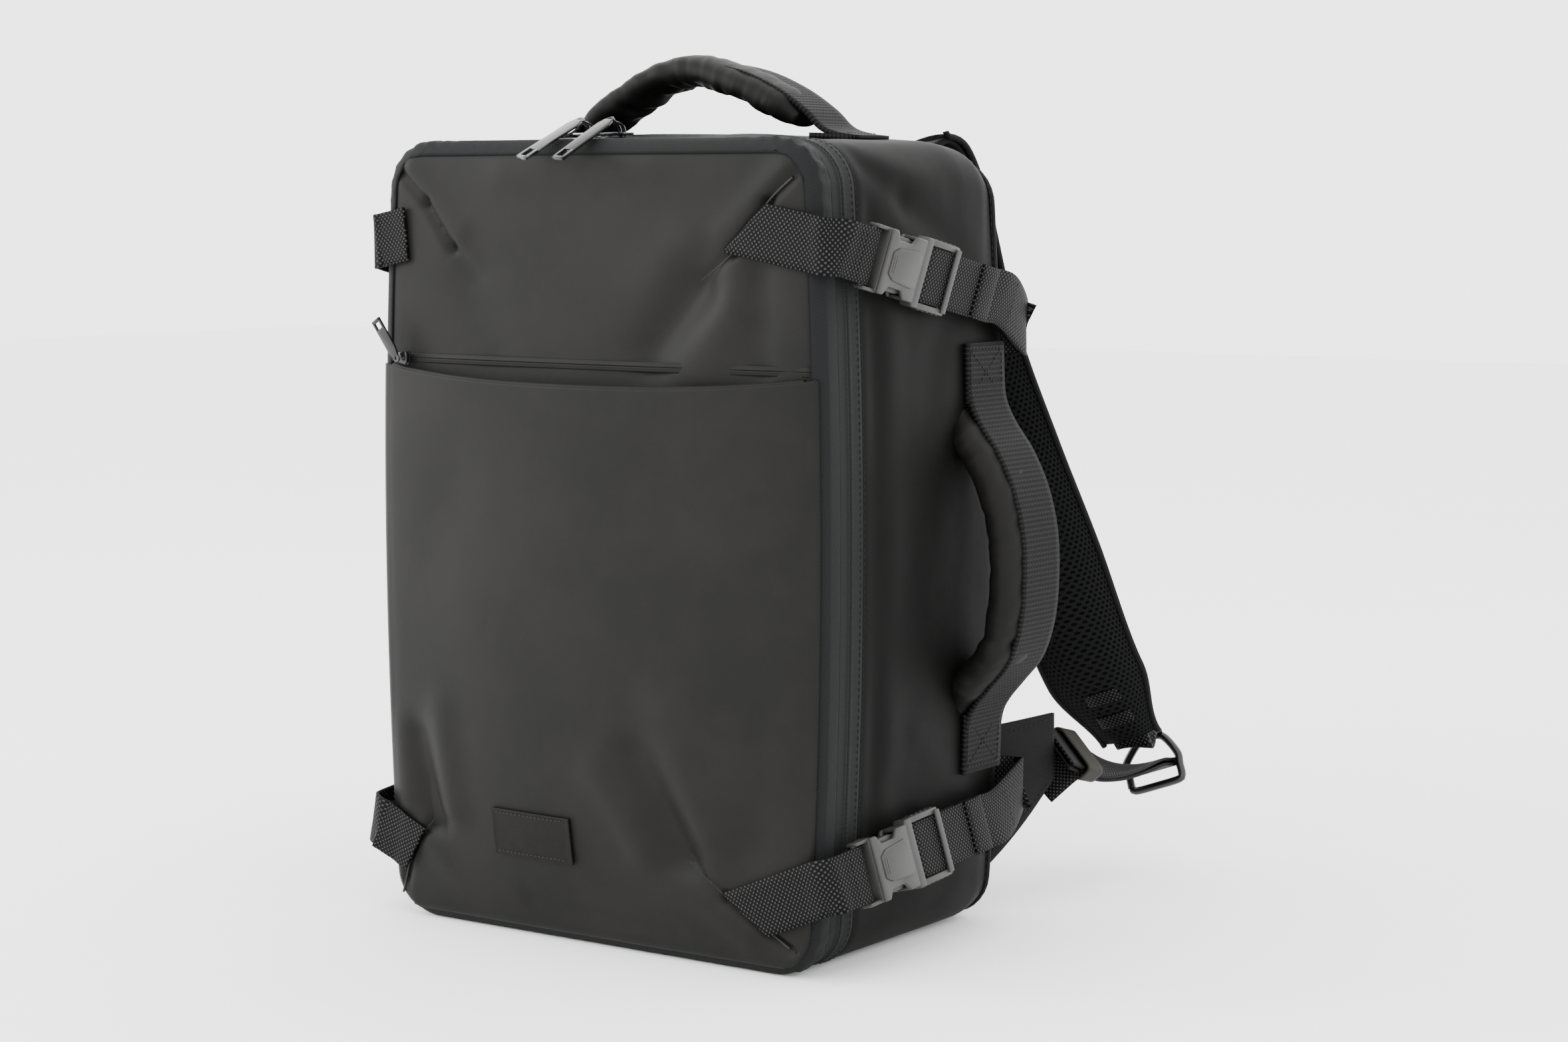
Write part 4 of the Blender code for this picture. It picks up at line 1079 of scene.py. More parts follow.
def crossRow(bm, place, u, w, reach=13.0, up=None):
    stitchRow(bm, [place @ Vector((u, -reach, w)), place @ Vector((u, reach, w))],
              up or (place.to_3x3() @ Vector((0, 0, 1))), 2.2, 0.9, 0.6)


def makeBuckle(name, side, place):
    # female: side rails, prong guides, webbing bar, two shells and their raised shields
    bm = bmesh.new()
    turned = Matrix.Scale(-1.0, 4, (1, 0, 0)) @ place if side < 0 else place
    for v in (-1, 1):
        low, high = sorted((15.4 * v, 17.5 * v))
        bar(bm, (-44.0, low, -3.6), (-30.0, high, 3.6), turned, 0.9)
        low, high = sorted((15.0 * v, 17.0 * v))
        bar(bm, (-9.0, low, -5.4), (0.0, high, 5.4), turned, 0.7)
    bar(bm, (-43.8, -16.5, -1.6), (-40.6, 16.5, 1.6), turned, 1.0)
    bar(bm, (-34.0, -17.4, -4.6), (-29.6, 17.4, 4.6), turned, 1.2)
    shell = [(-33.5, -17.4), (-28.5, -17.4), (-25.0, -12.6), (-13.0, -12.6), (-9.4, -17.0), (0.0, -17.0),
             (0.0, 17.0), (-9.4, 17.0), (-13.0, 12.6), (-25.0, 12.6), (-28.5, 17.4), (-33.5, 17.4)]
    for low, high in ((3.5, 6.0), (-6.0, -3.5)):
        plate(bm, shell, low, high, turned, 0.9, 3)
    shield = [(-29.0, -6.0), (-24.0, -8.8), (-6.0, -10.2), (-2.4, -8.6), (-2.4, 8.6), (-6.0, 10.2),
              (-24.0, 8.8), (-29.0, 6.0)]
    plate(bm, shield, 5.6, 6.7, turned, 0.5)
    plate(bm, shield, -6.5, -5.6, turned, 0.4)
    for u in (-27.2, -25.4):
        bar(bm, (u, -4.5, 6.5), (u + 0.8, 4.5, 7.0), turned, 0.25)
    closeSeam(bm, 0.0001)
    finishPiece("buckleFemale_" + name, bm, "plastic", "clip_" + name, ["buckle_female_" + name],
                sharp=32)

    # male: two prongs, a guide tongue, the frame with its grip ribs and two webbing bars
    bm = bmesh.new()
    for v in (-1, 1):
        arm = [(2.0, 8.8 * v), (2.0, 14.4 * v), (-11.0, 14.2 * v), (-14.0, 14.9 * v), (-22.0, 14.9 * v),
               (-25.5, 13.0 * v), (-24.5, 10.6 * v), (-16.0, 9.6 * v), (-8.0, 9.0 * v)]
        plate(bm, arm, -3.0, 3.0, turned, 0.6)
        low, high = sorted((15.4 * v, 19.0 * v))
        bar(bm, (5.0, low, -3.2), (36.0, high, 3.2), turned, 1.1)
        for k in range(5):
            u = 12.0 + k * 4.6
            low, high = sorted((18.4 * v, 19.4 * v))
            bar(bm, (u, low, -2.2), (u + 1.6, high, 2.2), turned, 0.3)
    bar(bm, (-22.0, -2.4, -2.2), (3.0, 2.4, 2.2), turned, 0.6)
    block = [(0.5, -15.5), (3.0, -19.0), (8.6, -19.0), (8.6, 19.0), (3.0, 19.0), (0.5, 15.5)]
    plate(bm, block, -4.2, 4.2, turned, 1.0, 3)
    bar(bm, (14.2, -16.4, -0.9), (18.0, 16.4, 0.9), turned, 0.6)
    bar(bm, (31.8, -17.6, 2.75), (36.2, 17.6, 4.4), turned, 0.7)
    bar(bm, (32.2, -16.4, -2.6), (35.6, 16.4, -0.7), turned, 0.5)
    closeSeam(bm, 0.0001)
    finishPiece("buckleMale_" + name, bm, "plastic", "plug_" + name, ["buckle_male_" + name],
                sharp=32)


# along the strap and off its face, from the buckle's mouth
loopLine = [(76.0, 1.7), (60.0, 1.7), (45.0, 1.8), (34.0, 1.6), (24.0, 1.9), (16.0, 1.8), (12.2, 1.5),
            (11.0, 0.0), (12.2, -1.5), (16.0, -1.8), (45.0, -1.8), (76.0, -1.7)]
tailHemLine = [(79.0, 2.6), (72.0, 3.3), (66.0, 3.3), (62.5, 2.9)]


def makeStraps():
    for sideName, side in sides.items():
        for level, strap in straps.items():
            name = level + "_" + sideName
            place = strapFrame(strap)
            across = place.to_3x3() @ Vector((0, 1, 0))
            makeBuckle(name, side, place)
            path, ways = frontStrapPath(strap, place, strapWeb["root"][sideName])
            pivot = flipAcross(path[1], side)
            along = (path[2] - path[1]).normalized()
            far = flipAcross(path[1] + along * 14.0, side)
            bm = strapBand(path, ways, strapWeb["width"], 2.0, 8)
            # slanted cut where the strap goes into its dart
            cutX, cutZ, awayX, awayZ = strap["cut"][sideName]
            near = [v for v in bm.verts if v.co.y < -98.0 and v.co.x < 140.0]
            faces = {f for v in near for f in v.link_faces}
            edges = {e for f in faces for e in f.edges}
            whole = list({v for f in faces for v in f.verts}) + list(edges) + list(faces)
            bmesh.ops.bisect_plane(bm, geom=whole,
                                   plane_co=(cutX, 0, cutZ), plane_no=(awayX, 0, awayZ), clear_inner=True)
            bm = mirrorOver(bm, side)
            finishPiece("frontStrap_" + name, bm, "webbing", ("lid", "clip_" + name), ["front_strap_" + name],
                        thick=strapWeb["thick"], side=0.0, span=(pivot, far))
            bm = bmesh.new()
            crossRow(bm, place, -50.5, 2.6)
            crossRow(bm, place, -54.0, 2.35)
            finishPiece("frontStrapStitches_" + name, mirrorOver(bm, side), "thread", "clip_" + name,
                        sharp=None)

            # webbing that goes round the plug's bar, and the hemmed end of its tail
            bm = strapBand([place @ Vector((u, 0, w)) for u, w in loopLine], [across] * len(loopLine),
                           strapWeb["width"], 2.0, 8)
            finishPiece("adjustLoop_" + name, mirrorOver(bm, side), "webbing", "plug_" + name,
                        ["adjust_loop_" + name], thick=strapWeb["thick"], side=0.0)
            bm = strapBand([place @ Vector((u, 0, w)) for u, w in tailHemLine], [across] * len(tailHemLine),
                           strapWeb["width"], 2.0, 8)
            finishPiece("strapTailHem_" + name, mirrorOver(bm, side), "webbing", "plug_" + name, thick=1.4,
                        side=0.0)
            bm = bmesh.new()
            crossRow(bm, place, 65.0, 4.05)
            finishPiece("tailHemStitches_" + name, mirrorOver(bm, side), "thread", "plug_" + name, sharp=None)

            hemPoint = Vector(strap["hem"])
            path = [place @ Vector((u, 0, 0)) for u in (58.0, 78.0, 98.0)]
            path += [hemPoint + Vector(step) for step in ((0, 0, 0), (-4.5, 4.5, 0), (-11, 3, 0),
                                                          (-15.5, -2.6, 0))]
            ways = [across] * 3 + [Vector((0, 0, 1))] * 4
            bm = mirrorOver(strapBand(path, ways, strapWeb["width"], 2.0, 8), side)
            finishPiece("rearStrap_" + name, bm, "webbing", "bag", ["rear_strap_" + name],
                        thick=strapWeb["thick"], side=0.0)
            bm = bmesh.new()
            crossRow(bm, place, 104.0 if level == "upper" else 108.0, 1.0)
            finishPiece("rearStrapStitches_" + name, mirrorOver(bm, side), "thread", "bag", sharp=None)


# carry handles
handles = {"topY": 12.0, "topWidth": 32.0, "topMiddle": -4.0, "tabReach": 97.0, "sideY": 57.0,
           "sideWidth": 38.0}
topArch = [(-112, 441.6), (-98, 443.2), (-86, 446.6), (-77, 454.5), (-60, 464.5), (-32, 478.5), (-2, 483.6),
           (28, 479.5), (54, 469.5), (74, 457.5), (86, 447.4), (97, 443.6), (110, 441.8)]
sideArch = [(153.0, 329), (154.4, 312), (156.6, 297), (163.5, 284), (174, 270), (184, 250), (190, 226),
            (191, 200), (188.5, 176), (181.5, 156), (170, 142), (160.5, 131), (155.6, 122), (153.4, 108),
            (152.0, 92)]


def wrinkledSleeve(name, path, ways, shape, body, span, node, seed, pinch=None):
    # a gathered tube of coated fabric over a soft core; shape gives its half width and depth,
    # how far it drops and shifts off the webbing, and the height of its gathers
    frames = strapFrames(path, ways, 1.6)
    last = len(frames) - 1
    total = frames[-1][4]

    def place(u, v):
        centre, along, across, normal, reach = frames[round(u * last)]
        turn = 2 * math.pi * v
        ends = min(1.0, reach / 16.0, (total - reach) / 16.0)
        ends = 0.62 + 0.38 * ease(ends)
        a = math.copysign(abs(math.cos(turn)) ** 0.8, math.cos(turn)) * shape["wide"] * ends
        b = math.copysign(abs(math.sin(turn)) ** 0.85, math.sin(turn)) * shape["deep"] * ends
        skew = reach + a * 0.5
        crumple = noise.noise(Vector((skew * 0.12, a * 0.05, seed))) * 1.5
        crumple += noise.noise(Vector((skew * 0.33, a * 0.11, seed + 5.0))) * 0.7
        crumple += (abs(noise.noise(Vector((skew * 0.09, b * 0.08, seed + 9)))) - 0.2) * 1.6
        if pinch:
            crumple -= 2.6 * math.exp(-((reach / total - pinch) * total / 4.0) ** 2)
            crumple += 1.5 * math.exp(-((reach / total - pinch) * total / 4.0 - 2.0) ** 2)
        grow = 1.0 + crumple / max(6.0, shape["deep"]) * 0.55
        late = ease((u - 0.45) / 0.3)
        drift = 3.5 * noise.noise(Vector((reach * 0.035, a * 0.04, seed + 20.0)))
        gather = shape["gather"] * math.sin(reach * 0.33 + drift * 2.0) * clamp(-b * shape["down"] / shape["deep"])
        gather *= 0.6 + 0.8 * noise.noise(Vector((reach * 0.05, 3.0, seed)))
        fall = shape["drop"][0] + (shape["drop"][1] - shape["drop"][0]) * late
        return (centre + across * (a * (0.6 + 0.4 * grow) + shape["shift"] * (late if shape["gather"] else 1.0))
                + normal * (b * grow + (gather - fall) * shape["down"]))
    bm = closeSeam(sheetGrid(last, 36, place, (total, 2 * math.pi * shape["wide"] * 0.7)))
    bmesh.ops.holes_fill(bm, edges=[e for e in bm.edges if e.is_boundary], sides=0)
    bmesh.ops.recalc_face_normals(bm, faces=bm.faces)
    return finishPiece(name, bm, "sleeve", body, node, rounds=1, span=span)


def topSkin(x):
    # height of the crowned top at x
    return bag["height"] + 5.0 * (1 - (x / 119.0) ** 2)


def boxAndCross(corners):
    # the lines of a boxed cross of stitches
    return list(zip(corners, corners[1:] + corners[:1])) + [(corners[0], corners[2]),
                                                            (corners[1], corners[3])]


def makeHandles():
    y = handles["topY"]
    path = [Vector((x, y, z)) for x, z in topArch]
    ways = [Vector((0, 1, 0))] * len(path)
    rise = ((-4.0, y, 447.5), (-4.0, y, 457.0))
    bm = strapBand(path, ways, handles["topWidth"], 2.0, 8)
    finishPiece("topHandleStrap", bm, "handleWebbing", ("bag", "top_handle"), ["top_handle_webbing"],
                thick=2.6, side=0.0, span=rise)
    sleevePath = [p for p in path if -90 < p.x < 80]
    normalSign = strapFrames(path, ways, 5.0)[10][3].z
    shape = {"wide": 19.0, "deep": 8.6, "drop": (2.4, 6.6), "down": 1 if normalSign > 0 else -1,
             "shift": -5.0, "gather": 1.7}
    top = wrinkledSleeve("topHandleSleeve", sleevePath, ways[:len(sleevePath)], shape, ("bag", "top_handle"),
                         rise, ["top_handle_sleeve"], 2.0)
    for sideName, side in sides.items():
        x0 = handles["topMiddle"] + side * handles["tabReach"]
        line = [(x0 + k, y, topSkin(x0 + k) + 0.6) for k in (-14, -7, 0, 7, 14)]
        bm = strapBand(line, [(0, 1, 0)] * 5, 33.0, 2.5, 8)
        finishPiece("topHandleTab_" + sideName, bm, "handleWebbing", "bag", ["top_handle_tab_" + sideName],
                    thick=3.0, side=0.0)
        bm = bmesh.new()
        zTop = topSkin(x0) + 2.5
        corners = [(x0 - 11, y - 13), (x0 + 11, y - 13), (x0 + 11, y + 13), (x0 - 11, y + 13)]
        for a, b in boxAndCross(corners):
            stitchRow(bm, [(a[0], a[1], zTop), (b[0], b[1], zTop)], (0, 0, 1), 2.2, 0.9, 0.6)
        finishPiece("topTabStitches_" + sideName, bm, "thread", "bag", sharp=None)

    y = handles["sideY"]
    path = [Vector((x, y, z)) for x, z in sideArch]
    ways = [Vector((0, 1, 0))] * len(path)
    rise = ((156.0, y, 211.0), (167.0, y, 211.0))
    bm = strapBand(path, ways, handles["sideWidth"], 2.0, 10)
    finishPiece("sideHandleStrap", bm, "handleWebbing", ("bag", "side_handle"), ["side_handle_webbing"],
                thick=2.4, side=0.0, span=rise)
    sleevePath = [p for p in path if 118 < p.z < 300]
    normalSign = strapFrames(path, ways, 5.0)[20][3].x
    shape = {"wide": 23.5, "deep": 10.0, "drop": (9.2, 9.2), "down": 1 if normalSign > 0 else -1,
             "shift": -8.0, "gather": 0.0}
    grip = wrinkledSleeve("sideHandleSleeve", sleevePath, ways[:len(sleevePath)], shape,
                          ("bag", "side_handle"), rise, ["side_handle_sleeve"], 11.0, pinch=0.72)
    for level, heights in (("upper", (297.0, 313.0, 330.0)), ("lower", (91.0, 108.0, 125.0))):
        line = [(halfWidth(z) + 2.9, y, z) for z in heights]
        bm = strapBand(line, [(0, 1, 0)] * 3, 38.5, 2.5, 10)
        finishPiece("sideHandleTab_" + level, bm, "handleWebbing", "bag", ["side_handle_tab_" + level],
                    thick=2.6, side=0.0)
        bm = bmesh.new()
        low, high = heights[0] + 3.5, heights[-1] - 3.5
        corners = [(y - 16, low), (y + 16, low), (y + 16, high), (y - 16, high)]
        for a, b in boxAndCross(corners):
            stitchRow(bm, [(halfWidth(a[1]) + 4.4, a[0], a[1]), (halfWidth(b[1]) + 4.4, b[0], b[1])],
                      (1, 0, 0), 2.4, 1.0, 0.6)
        finishPiece("sideTabStitches_" + level, bm, "thread", "bag", sharp=None)
    return [top, grip]


# shoulder straps: padded, with spacer mesh towards the wearer
padPath = [(66.5, 117, 440.5), (71, 126.5, 431), (77, 135, 400), (89, 146, 330), (102, 170, 263),
           (115, 196, 199), (128, 222, 130), (139, 257, 79)]
shoulder = {"width": 62.0, "deep": 5.6, "edgeTurn": 25.0, "hook": (143.0, 279.0, 58.0),
            "start": (151.0, 146.0, 91.0), "tailAcross": (0.62, 0.30, -0.70),
            "barAcross": (0.93, 0.0, 0.37)}


def padWay(share):
    angle = math.radians(shoulder["edgeTurn"]) * share
    return Vector((math.cos(angle), math.sin(angle), 0.0))


def lowerLine():
    start, end = Vector(shoulder["start"]), Vector(shoulder["hook"])
    along = (end - start).normalized()
    near, far = Vector(shoulder["tailAcross"]), Vector(shoulder["barAcross"])
    line = []
    for share in (0.0, 0.17, 0.30, 0.45, 0.60, 0.75, 0.88, 0.96):
        mix = clamp((share - 0.30) / 0.58)
        across = near.lerp(far, mix)
        across = (across - across.dot(along) * along).normalized()
        sag = Vector((0, 0, -5.0 * math.sin(math.pi * share)))
        line.append((start.lerp(end, share) + sag, across, along.cross(across)))
    return line, along


def hookFrame():
    line, along = lowerLine()
    across = line[-1][1]
    up = across.cross(along).normalized()
    if up.z < 0:
        up = -up
        across = -across
    return Matrix.Translation(Vector(shoulder["hook"])) @ Matrix((across, along, up)).transposed().to_4x4()


def makeShoulder(sideName, side):
    rider = "shoulder_" + sideName
    count = len(padPath) - 1
    ways = [padWay(i / count) for i in range(count + 1)]
    frames = strapFrames(padPath, ways, 3.0)
    last, total = len(frames) - 1, frames[-1][4]

    def halfWide(reach):
        taper = ease((total - reach) / 52.0)
        return shoulder["width"] / 2 * (0.62 + 0.38 * taper)

    def section(u, v):
        centre, along, across, normal, reach = frames[round(u * last)]
        turn = 2 * math.pi * v
        wide = halfWide(reach)
        ends = ease(min(reach / 8.0, (total - reach) / 8.0)) * 0.55 + 0.45
        a = math.copysign(abs(math.cos(turn)) ** 0.72, math.cos(turn)) * (wide - 1.2)
        edge = 1.0 - abs(a / wide) ** 3.2
        b = math.sin(turn) * shoulder["deep"] * ends * (0.35 + 0.65 * edge)
        b += noise.noise(Vector((reach * 0.03, a * 0.03, 5.0 + side))) * 0.7 * edge
        return centre + across * a + normal * b
    bm = sheetGrid(last, 32, section, (total, 132.0))
    closeSeam(bm)
    bmesh.ops.holes_fill(bm, edges=[e for e in bm.edges if e.is_boundary], sides=0)
    bmesh.ops.recalc_face_normals(bm, faces=bm.faces)
    for face in bm.faces:
        face.material_index = 1 if face.normal.y > 0.05 else 0
    pad = finishPiece("shoulderPad_" + sideName, mirrorOver(bm, side), ["mesh", "coatedSide"], rider,
                      ["shoulder_pad_" + sideName], rounds=1, sharp=None)
    for edge, sign in (("inner", -1), ("outer", 1)):
        line = [f[0] + f[2] * sign * (halfWide(f[4]) - 1.2) for f in frames]
        bm = roundTube(line, 1.9, 4.0, 8, 1.0, up=(0, 1, 0.2))
        finishPiece("padBinding_" + edge + "_" + sideName, mirrorOver(bm, side), "trim", rider)
    # woven tacks that hold the end loop on the pad
    for k, at in enumerate((0.905, 0.945)):
        centre, along, across, normal, reach = frames[round(at * last)]
        line = [centre + across * s + normal * (5.6 if abs(s) < 9 else 4.4) for s in (-11, -6, 0, 6, 11)]
        bm = strapBand(line, [along] * 5, 9.0, 1.5, 5)
        finishPiece("padTack%d_" % (k + 1) + sideName, mirrorOver(bm, side), "webbing", rider, thick=1.5,
                    side=0.0)

    # sewn-in top end of the pad
    top = [(62, 96.4, 370), (62, 96.6, 392), (62, 96.8, 412), (63, 100.5, 430), (65, 109.0, 439.0),
           (68, 119.5, 438.5), (71.5, 129.5, 427.0)]
    bm = strapBand(top, [(1, 0, 0)] * len(top), 58.0, 3.0, 14,
                   lift=lambda reach, v: 1.4 * math.cos(v / 29.0 * math.pi / 2))
    finishPiece("padRoot_" + sideName, mirrorOver(bm, side), "coatedSide", ("bag", rider),
                ["shoulder_anchor_" + sideName], thick=3.6, side=0.0,
                span=(flipAcross((66, 113, 446), side), flipAcross((71, 130, 438), side)))

    place = hookFrame()
    ringTop = place @ Vector((0, 0, 21.0))
    end = Vector(padPath[-1])
    way = (end - Vector(padPath[-2])).normalized()
    path = [end - way * 26.0 - frames[-2][3], end - way * 6.0, end + way * 6.0, end.lerp(ringTop, 0.6),
            ringTop + (end - ringTop).normalized()]
    across = place.to_3x3() @ Vector((1, 0, 0))
    if across.x < 0:
        across = -across
    bm = strapBand(path, [ways[-1]] * 3 + [across] * 2, 22.0, 2.0, 6)
    finishPiece("padLoop_" + sideName, mirrorOver(bm, side), "webbing", rider, ["pad_loop_" + sideName],
                thick=2.6, side=0.0)

    # the hook: a bent wire ring with a bar across it
    ring = [(-17.3, -9.0), (-14.5, -11.3), (0.0, -11.6), (14.5, -11.3), (17.3, -9.0), (17.3, -2.0),
            (17.3, 5.2), (10.5, 17.0), (3.0, 19.4), (-3.8, 19.6), (-17.3, 7.0), (-17.3, 0.0), (-17.3, -9.0)]
    bm = roundTube([place @ Vector((x, 0, z)) for x, z in ring], 2.5, 1.6, 12, 1.0,
                   up=place.to_3x3() @ Vector((0, 1, 0)), closed=True)
    crossBar = roundTube([place @ Vector((x, 0, 0)) for x in (-17, -8, 0, 8, 17)], 1.6, 3.0, 10, 1.0,
                         up=place.to_3x3() @ Vector((0, 1, 0)))
    addTo(bm, crossBar)
    finishPiece("strapHook_" + sideName, mirrorOver(bm, side), "blackMetal", rider, ["hook_" + sideName])

    # lower webbing: out to the hook's bar, round it and back
    line, along = lowerLine()
    centre = Vector(shoulder["hook"])
    endWay, endUp = line[-1][1:]
    path = [spot + up * 1.7 for spot, way, up in line]
    webWays = [way for spot, way, up in line]
    path += [centre + endUp * 1.8 + along * 1.4, centre + along * 3.2, centre - endUp * 1.8 + along * 1.4]
    webWays += [endWay] * 3
    path += [spot - up * 1.7 for spot, way, up in reversed(line)]
    webWays += [way for spot, way, up in reversed(line)]
    bm = strapBand(path, webWays, 30.0, 2.0, 8)
    finishPiece("lowerWebbing_" + sideName, mirrorOver(bm, side), "webbing", "webbing_" + sideName,
                ["lower_webbing_" + sideName], thick=1.5, side=0.0)
    # the tail's hem, standing past the keeper
    spot, across, up = line[1]
    fall = Vector((-0.59, -0.41, -0.69))
    lift = -up if up.x < 0 else up
    hem = [spot + lift * 3.4 + along * 14.0, spot + lift * 3.4 + along * 5.0,
           spot + lift * 4.0 - along * 4.0 + fall * 3.0]
    hem += [spot + lift * 4.6 - along * back + fall * drop for back,
            drop in ((7.0, 12.0), (8.0, 22.0), (8.5, 31.0))]
    bm = strapBand(hem, [across] * len(hem), 30.0, 2.0, 8)
    finishPiece("lowerTailHem_" + sideName, mirrorOver(bm, side), "webbing", "webbing_" + sideName, thick=1.4,
                side=0.0)

    # elastic keeper round both layers
    keeperAt = Vector(shoulder["start"]).lerp(centre, 0.17) + Vector((0, 0, -2.5))
    outline = roundedOutline(34.4, 12.6, 3.8, 5)
    outline.append(outline[0])
    loop = [keeperAt + across * x + up * y for x, y in outline]
    reach = [0.0]
    for p, q in zip(loop, loop[1:]):
        reach.append(reach[-1] + (q - p).length)

    def keeper(u, v):
        goal = u * reach[-1]
        k = max(i for i, r in enumerate(reach[:-1]) if r <= goal + 1e-9)
        f = clamp((goal - reach[k]) / max(1e-6, reach[k + 1] - reach[k]))
        return loop[k].lerp(loop[k + 1], f) + along * (v - 0.5) * 19.0
    bm = closeSeam(sheetGrid(60, 6, keeper, (reach[-1], 15.0)))
    finishPiece("tailKeeper_" + sideName, mirrorOver(bm, side), "elastic", "keeper_body_" + sideName,
                ["keeper_" + sideName], thick=1.1, side=-1.0)

    # fabric wing that carries the lower webbing
    def wing(u, v):
        root = Vector((131.0, 95.4, 24.0)).lerp(Vector((131.0, 95.4, 107.0)), v)
        tip = Vector((148.6, 145.0, 72.0)).lerp(Vector((148.6, 145.0, 111.0)), v)
        point = root.lerp(tip, u)
        point.z -= 3.0 * math.sin(math.pi * u) * (1 - v)
        point.x += 2.2 * math.sin(math.pi * u) * math.sin(math.pi * v)
        return point
    bm = sheetGrid(24, 26, wing, (52.0, 60.0))
    finishPiece("strapWing_" + sideName, mirrorOver(bm, side), "trim", "bag", ["strap_wing_" + sideName],
                thick=2.6, side=0.0)
    bm = bmesh.new()
    for v in (0.08, 0.93):
        row = [wing(0.05 + 0.9 * i / 20, v) + Vector((1.5, -0.5, 0)) for i in range(21)]
        stitchRow(bm, row, (0.94, -0.33, 0), 2.6, 1.1, 0.55)
    finishPiece("wingStitches_" + sideName, mirrorOver(bm, side), "thread", "bag", sharp=None)
    return pad


# back panel: two quilted pads of spacer mesh with a vent channel between them
def makeBackPanel():
    def place(u, v):
        x = (2 * u - 1) * 109.0
        z = 33.0 + 350.0 * v
        corner = cornerCut(z, 33.0, 383.0, 16.0)
        x *= (109.0 - corner) / 109.0
        away = min(109.0 - corner - abs(x), z - 33.0, 383.0 - z)
        channel = ease((abs(x) - 8.0) / 12.0)
        sewn = 1.0
        for line in (103.0, 173.0, 243.0, 313.0):
            sewn = min(sewn, 0.45 + 0.55 * ease(abs(z - line) / 11.0))
        height = 10.8 * ease(away / 13.0) * (0.42 + 0.58 * channel * sewn)
        return Vector((x, 94.3 + height, z))
    bm = sheetGrid(88, 140, place, (218.0, 350.0))
    pad = finishPiece("backPanelPad", bm, "mesh", "bag", ["back_pad"], thick=0.8, side=-1.0)
    line = []
    outline = roundedOutline(216.0, 348.0, 16.0, 6)
    for x, z in outline + outline[:1]:
        line.append(Vector((x, 95.0, 208.0 + z)))
    bm = roundTube(line, 2.0, 5.0, 8, 0.8, up=(0, 1, 0.01), closed=True)
    finishPiece("backPanelBinding", bm, "trim", "bag")
    return pad


# blank patch, low on the pocket
patchPlace = {"left": -62.0, "right": -5.0, "foot": 46.0, "head": 72.5}


def makePatch():
    low, high = patchPlace["foot"], patchPlace["head"]

    def skin(x, z, lift):
        return Vector((x, min(lidFace(x, z), pocketFace(x, z)) - bag["pocketCloth"] * 0.5 - lift, z))

    def place(u, v):
        x = patchPlace["left"] + (patchPlace["right"] - patchPlace["left"]) * u
        z = low + (high - low) * v
        return skin(x, z, 2.0 - 0.25 * ease(min(u * 56, (1 - u) * 57, v * 26.5, (1 - v) * 26.5) / 3.5))
    bm = sheetGrid(56, 26, place, (56.0, 26.0))
    finishPiece("blankPatch", bm, "patch", "lid", ["patch"], thick=1.3, side=0.0, edge=0.4)
    bm = bmesh.new()
    for z in (low + 2.2, high - 2.2):
        row = [skin(patchPlace["left"] + 3 + 51 * i / 20, z, 2.9) for i in range(21)]
        stitchRow(bm, row, (0, -1, 0), 1.6, 1.3, 0.5)
    finishPiece("patchStitches", bm, "paleThread", "lid", sharp=None)


# sliders and pullers
pullers = {"sliderY": -72.5, "hingeY": -81.0, "hingeZ": 450.8, "slope": 30.0, "length": 42.0, "width": 8.5}
# place along the top, the way it faces, the puller's splay and the finish
sliderSpots = {"left": (-20.5, 1.0, 16.0, "chrome"), "right": (0.5, -1.0, 9.0, "darkChrome")}


def pullerShape(bm, place, length, width, thick, windowLength):
    # neck, window rails, foot and the eye that it hangs from
    half, t = width / 2, thick / 2
    neck = [(-half * 0.62, 0.5), (-half, -4.5), (-half, -length + windowLength),
            (half, -length + windowLength), (half, -4.5), (half * 0.62, 0.5)]
    plate(bm, neck, -t, t, place, 0.35)
    rail = half * 0.42
    for sign in (-1, 1):
        low, high = sorted((sign * (half - rail), sign * half))
        bar(bm, (low, -length, -t), (high, -length + windowLength + 0.6, t), place, 0.35)
    bar(bm, (-half, -length, -t), (half, -length + 2.0, t), place, 0.35)
    eye = [place @ Vector((half * 0.5 * math.sin(a * math.pi / 6), 1.4 + 1.6 * math.cos(a * math.pi / 6),
                           0.0)) for a in range(13)]
    ring = roundTube(eye, 0.75, 0.9, 8, 1.0, up=place.to_3x3() @ Vector((0, 0, 1)), closed=True)
    addTo(bm, ring)


def sliderBody(bm, place, length, width, height):
    # upper and lower wings with the wedge between them
    top = [(-length / 2, -width * 0.34), (-length * 0.1, -width * 0.36), (length * 0.36, -width / 2),
           (length / 2, -width * 0.3), (length / 2, width * 0.3), (length * 0.36, width / 2),
           (-length * 0.1, width * 0.36), (-length / 2, width * 0.34)]
    plate(bm, top, height - 1.5, height, place, 0.5)
    plate(bm, top, 0.0, 1.3, place, 0.4)
    plate(bm, [(-length * 0.3, -width * 0.18), (length * 0.42, -width * 0.22), (length * 0.42, width * 0.22),
               (-length * 0.3, width * 0.18)], 0.8, height - 1.0, place, 0.4)


# the pocket's slider and puller: height over the mouth, place, and how the puller hangs
pocketPull = {"above": 8.0, "x": -131.0, "stand": 7.1, "turn": 212.0, "lean": -8.0, "length": 24.0,
              "width": 6.5}


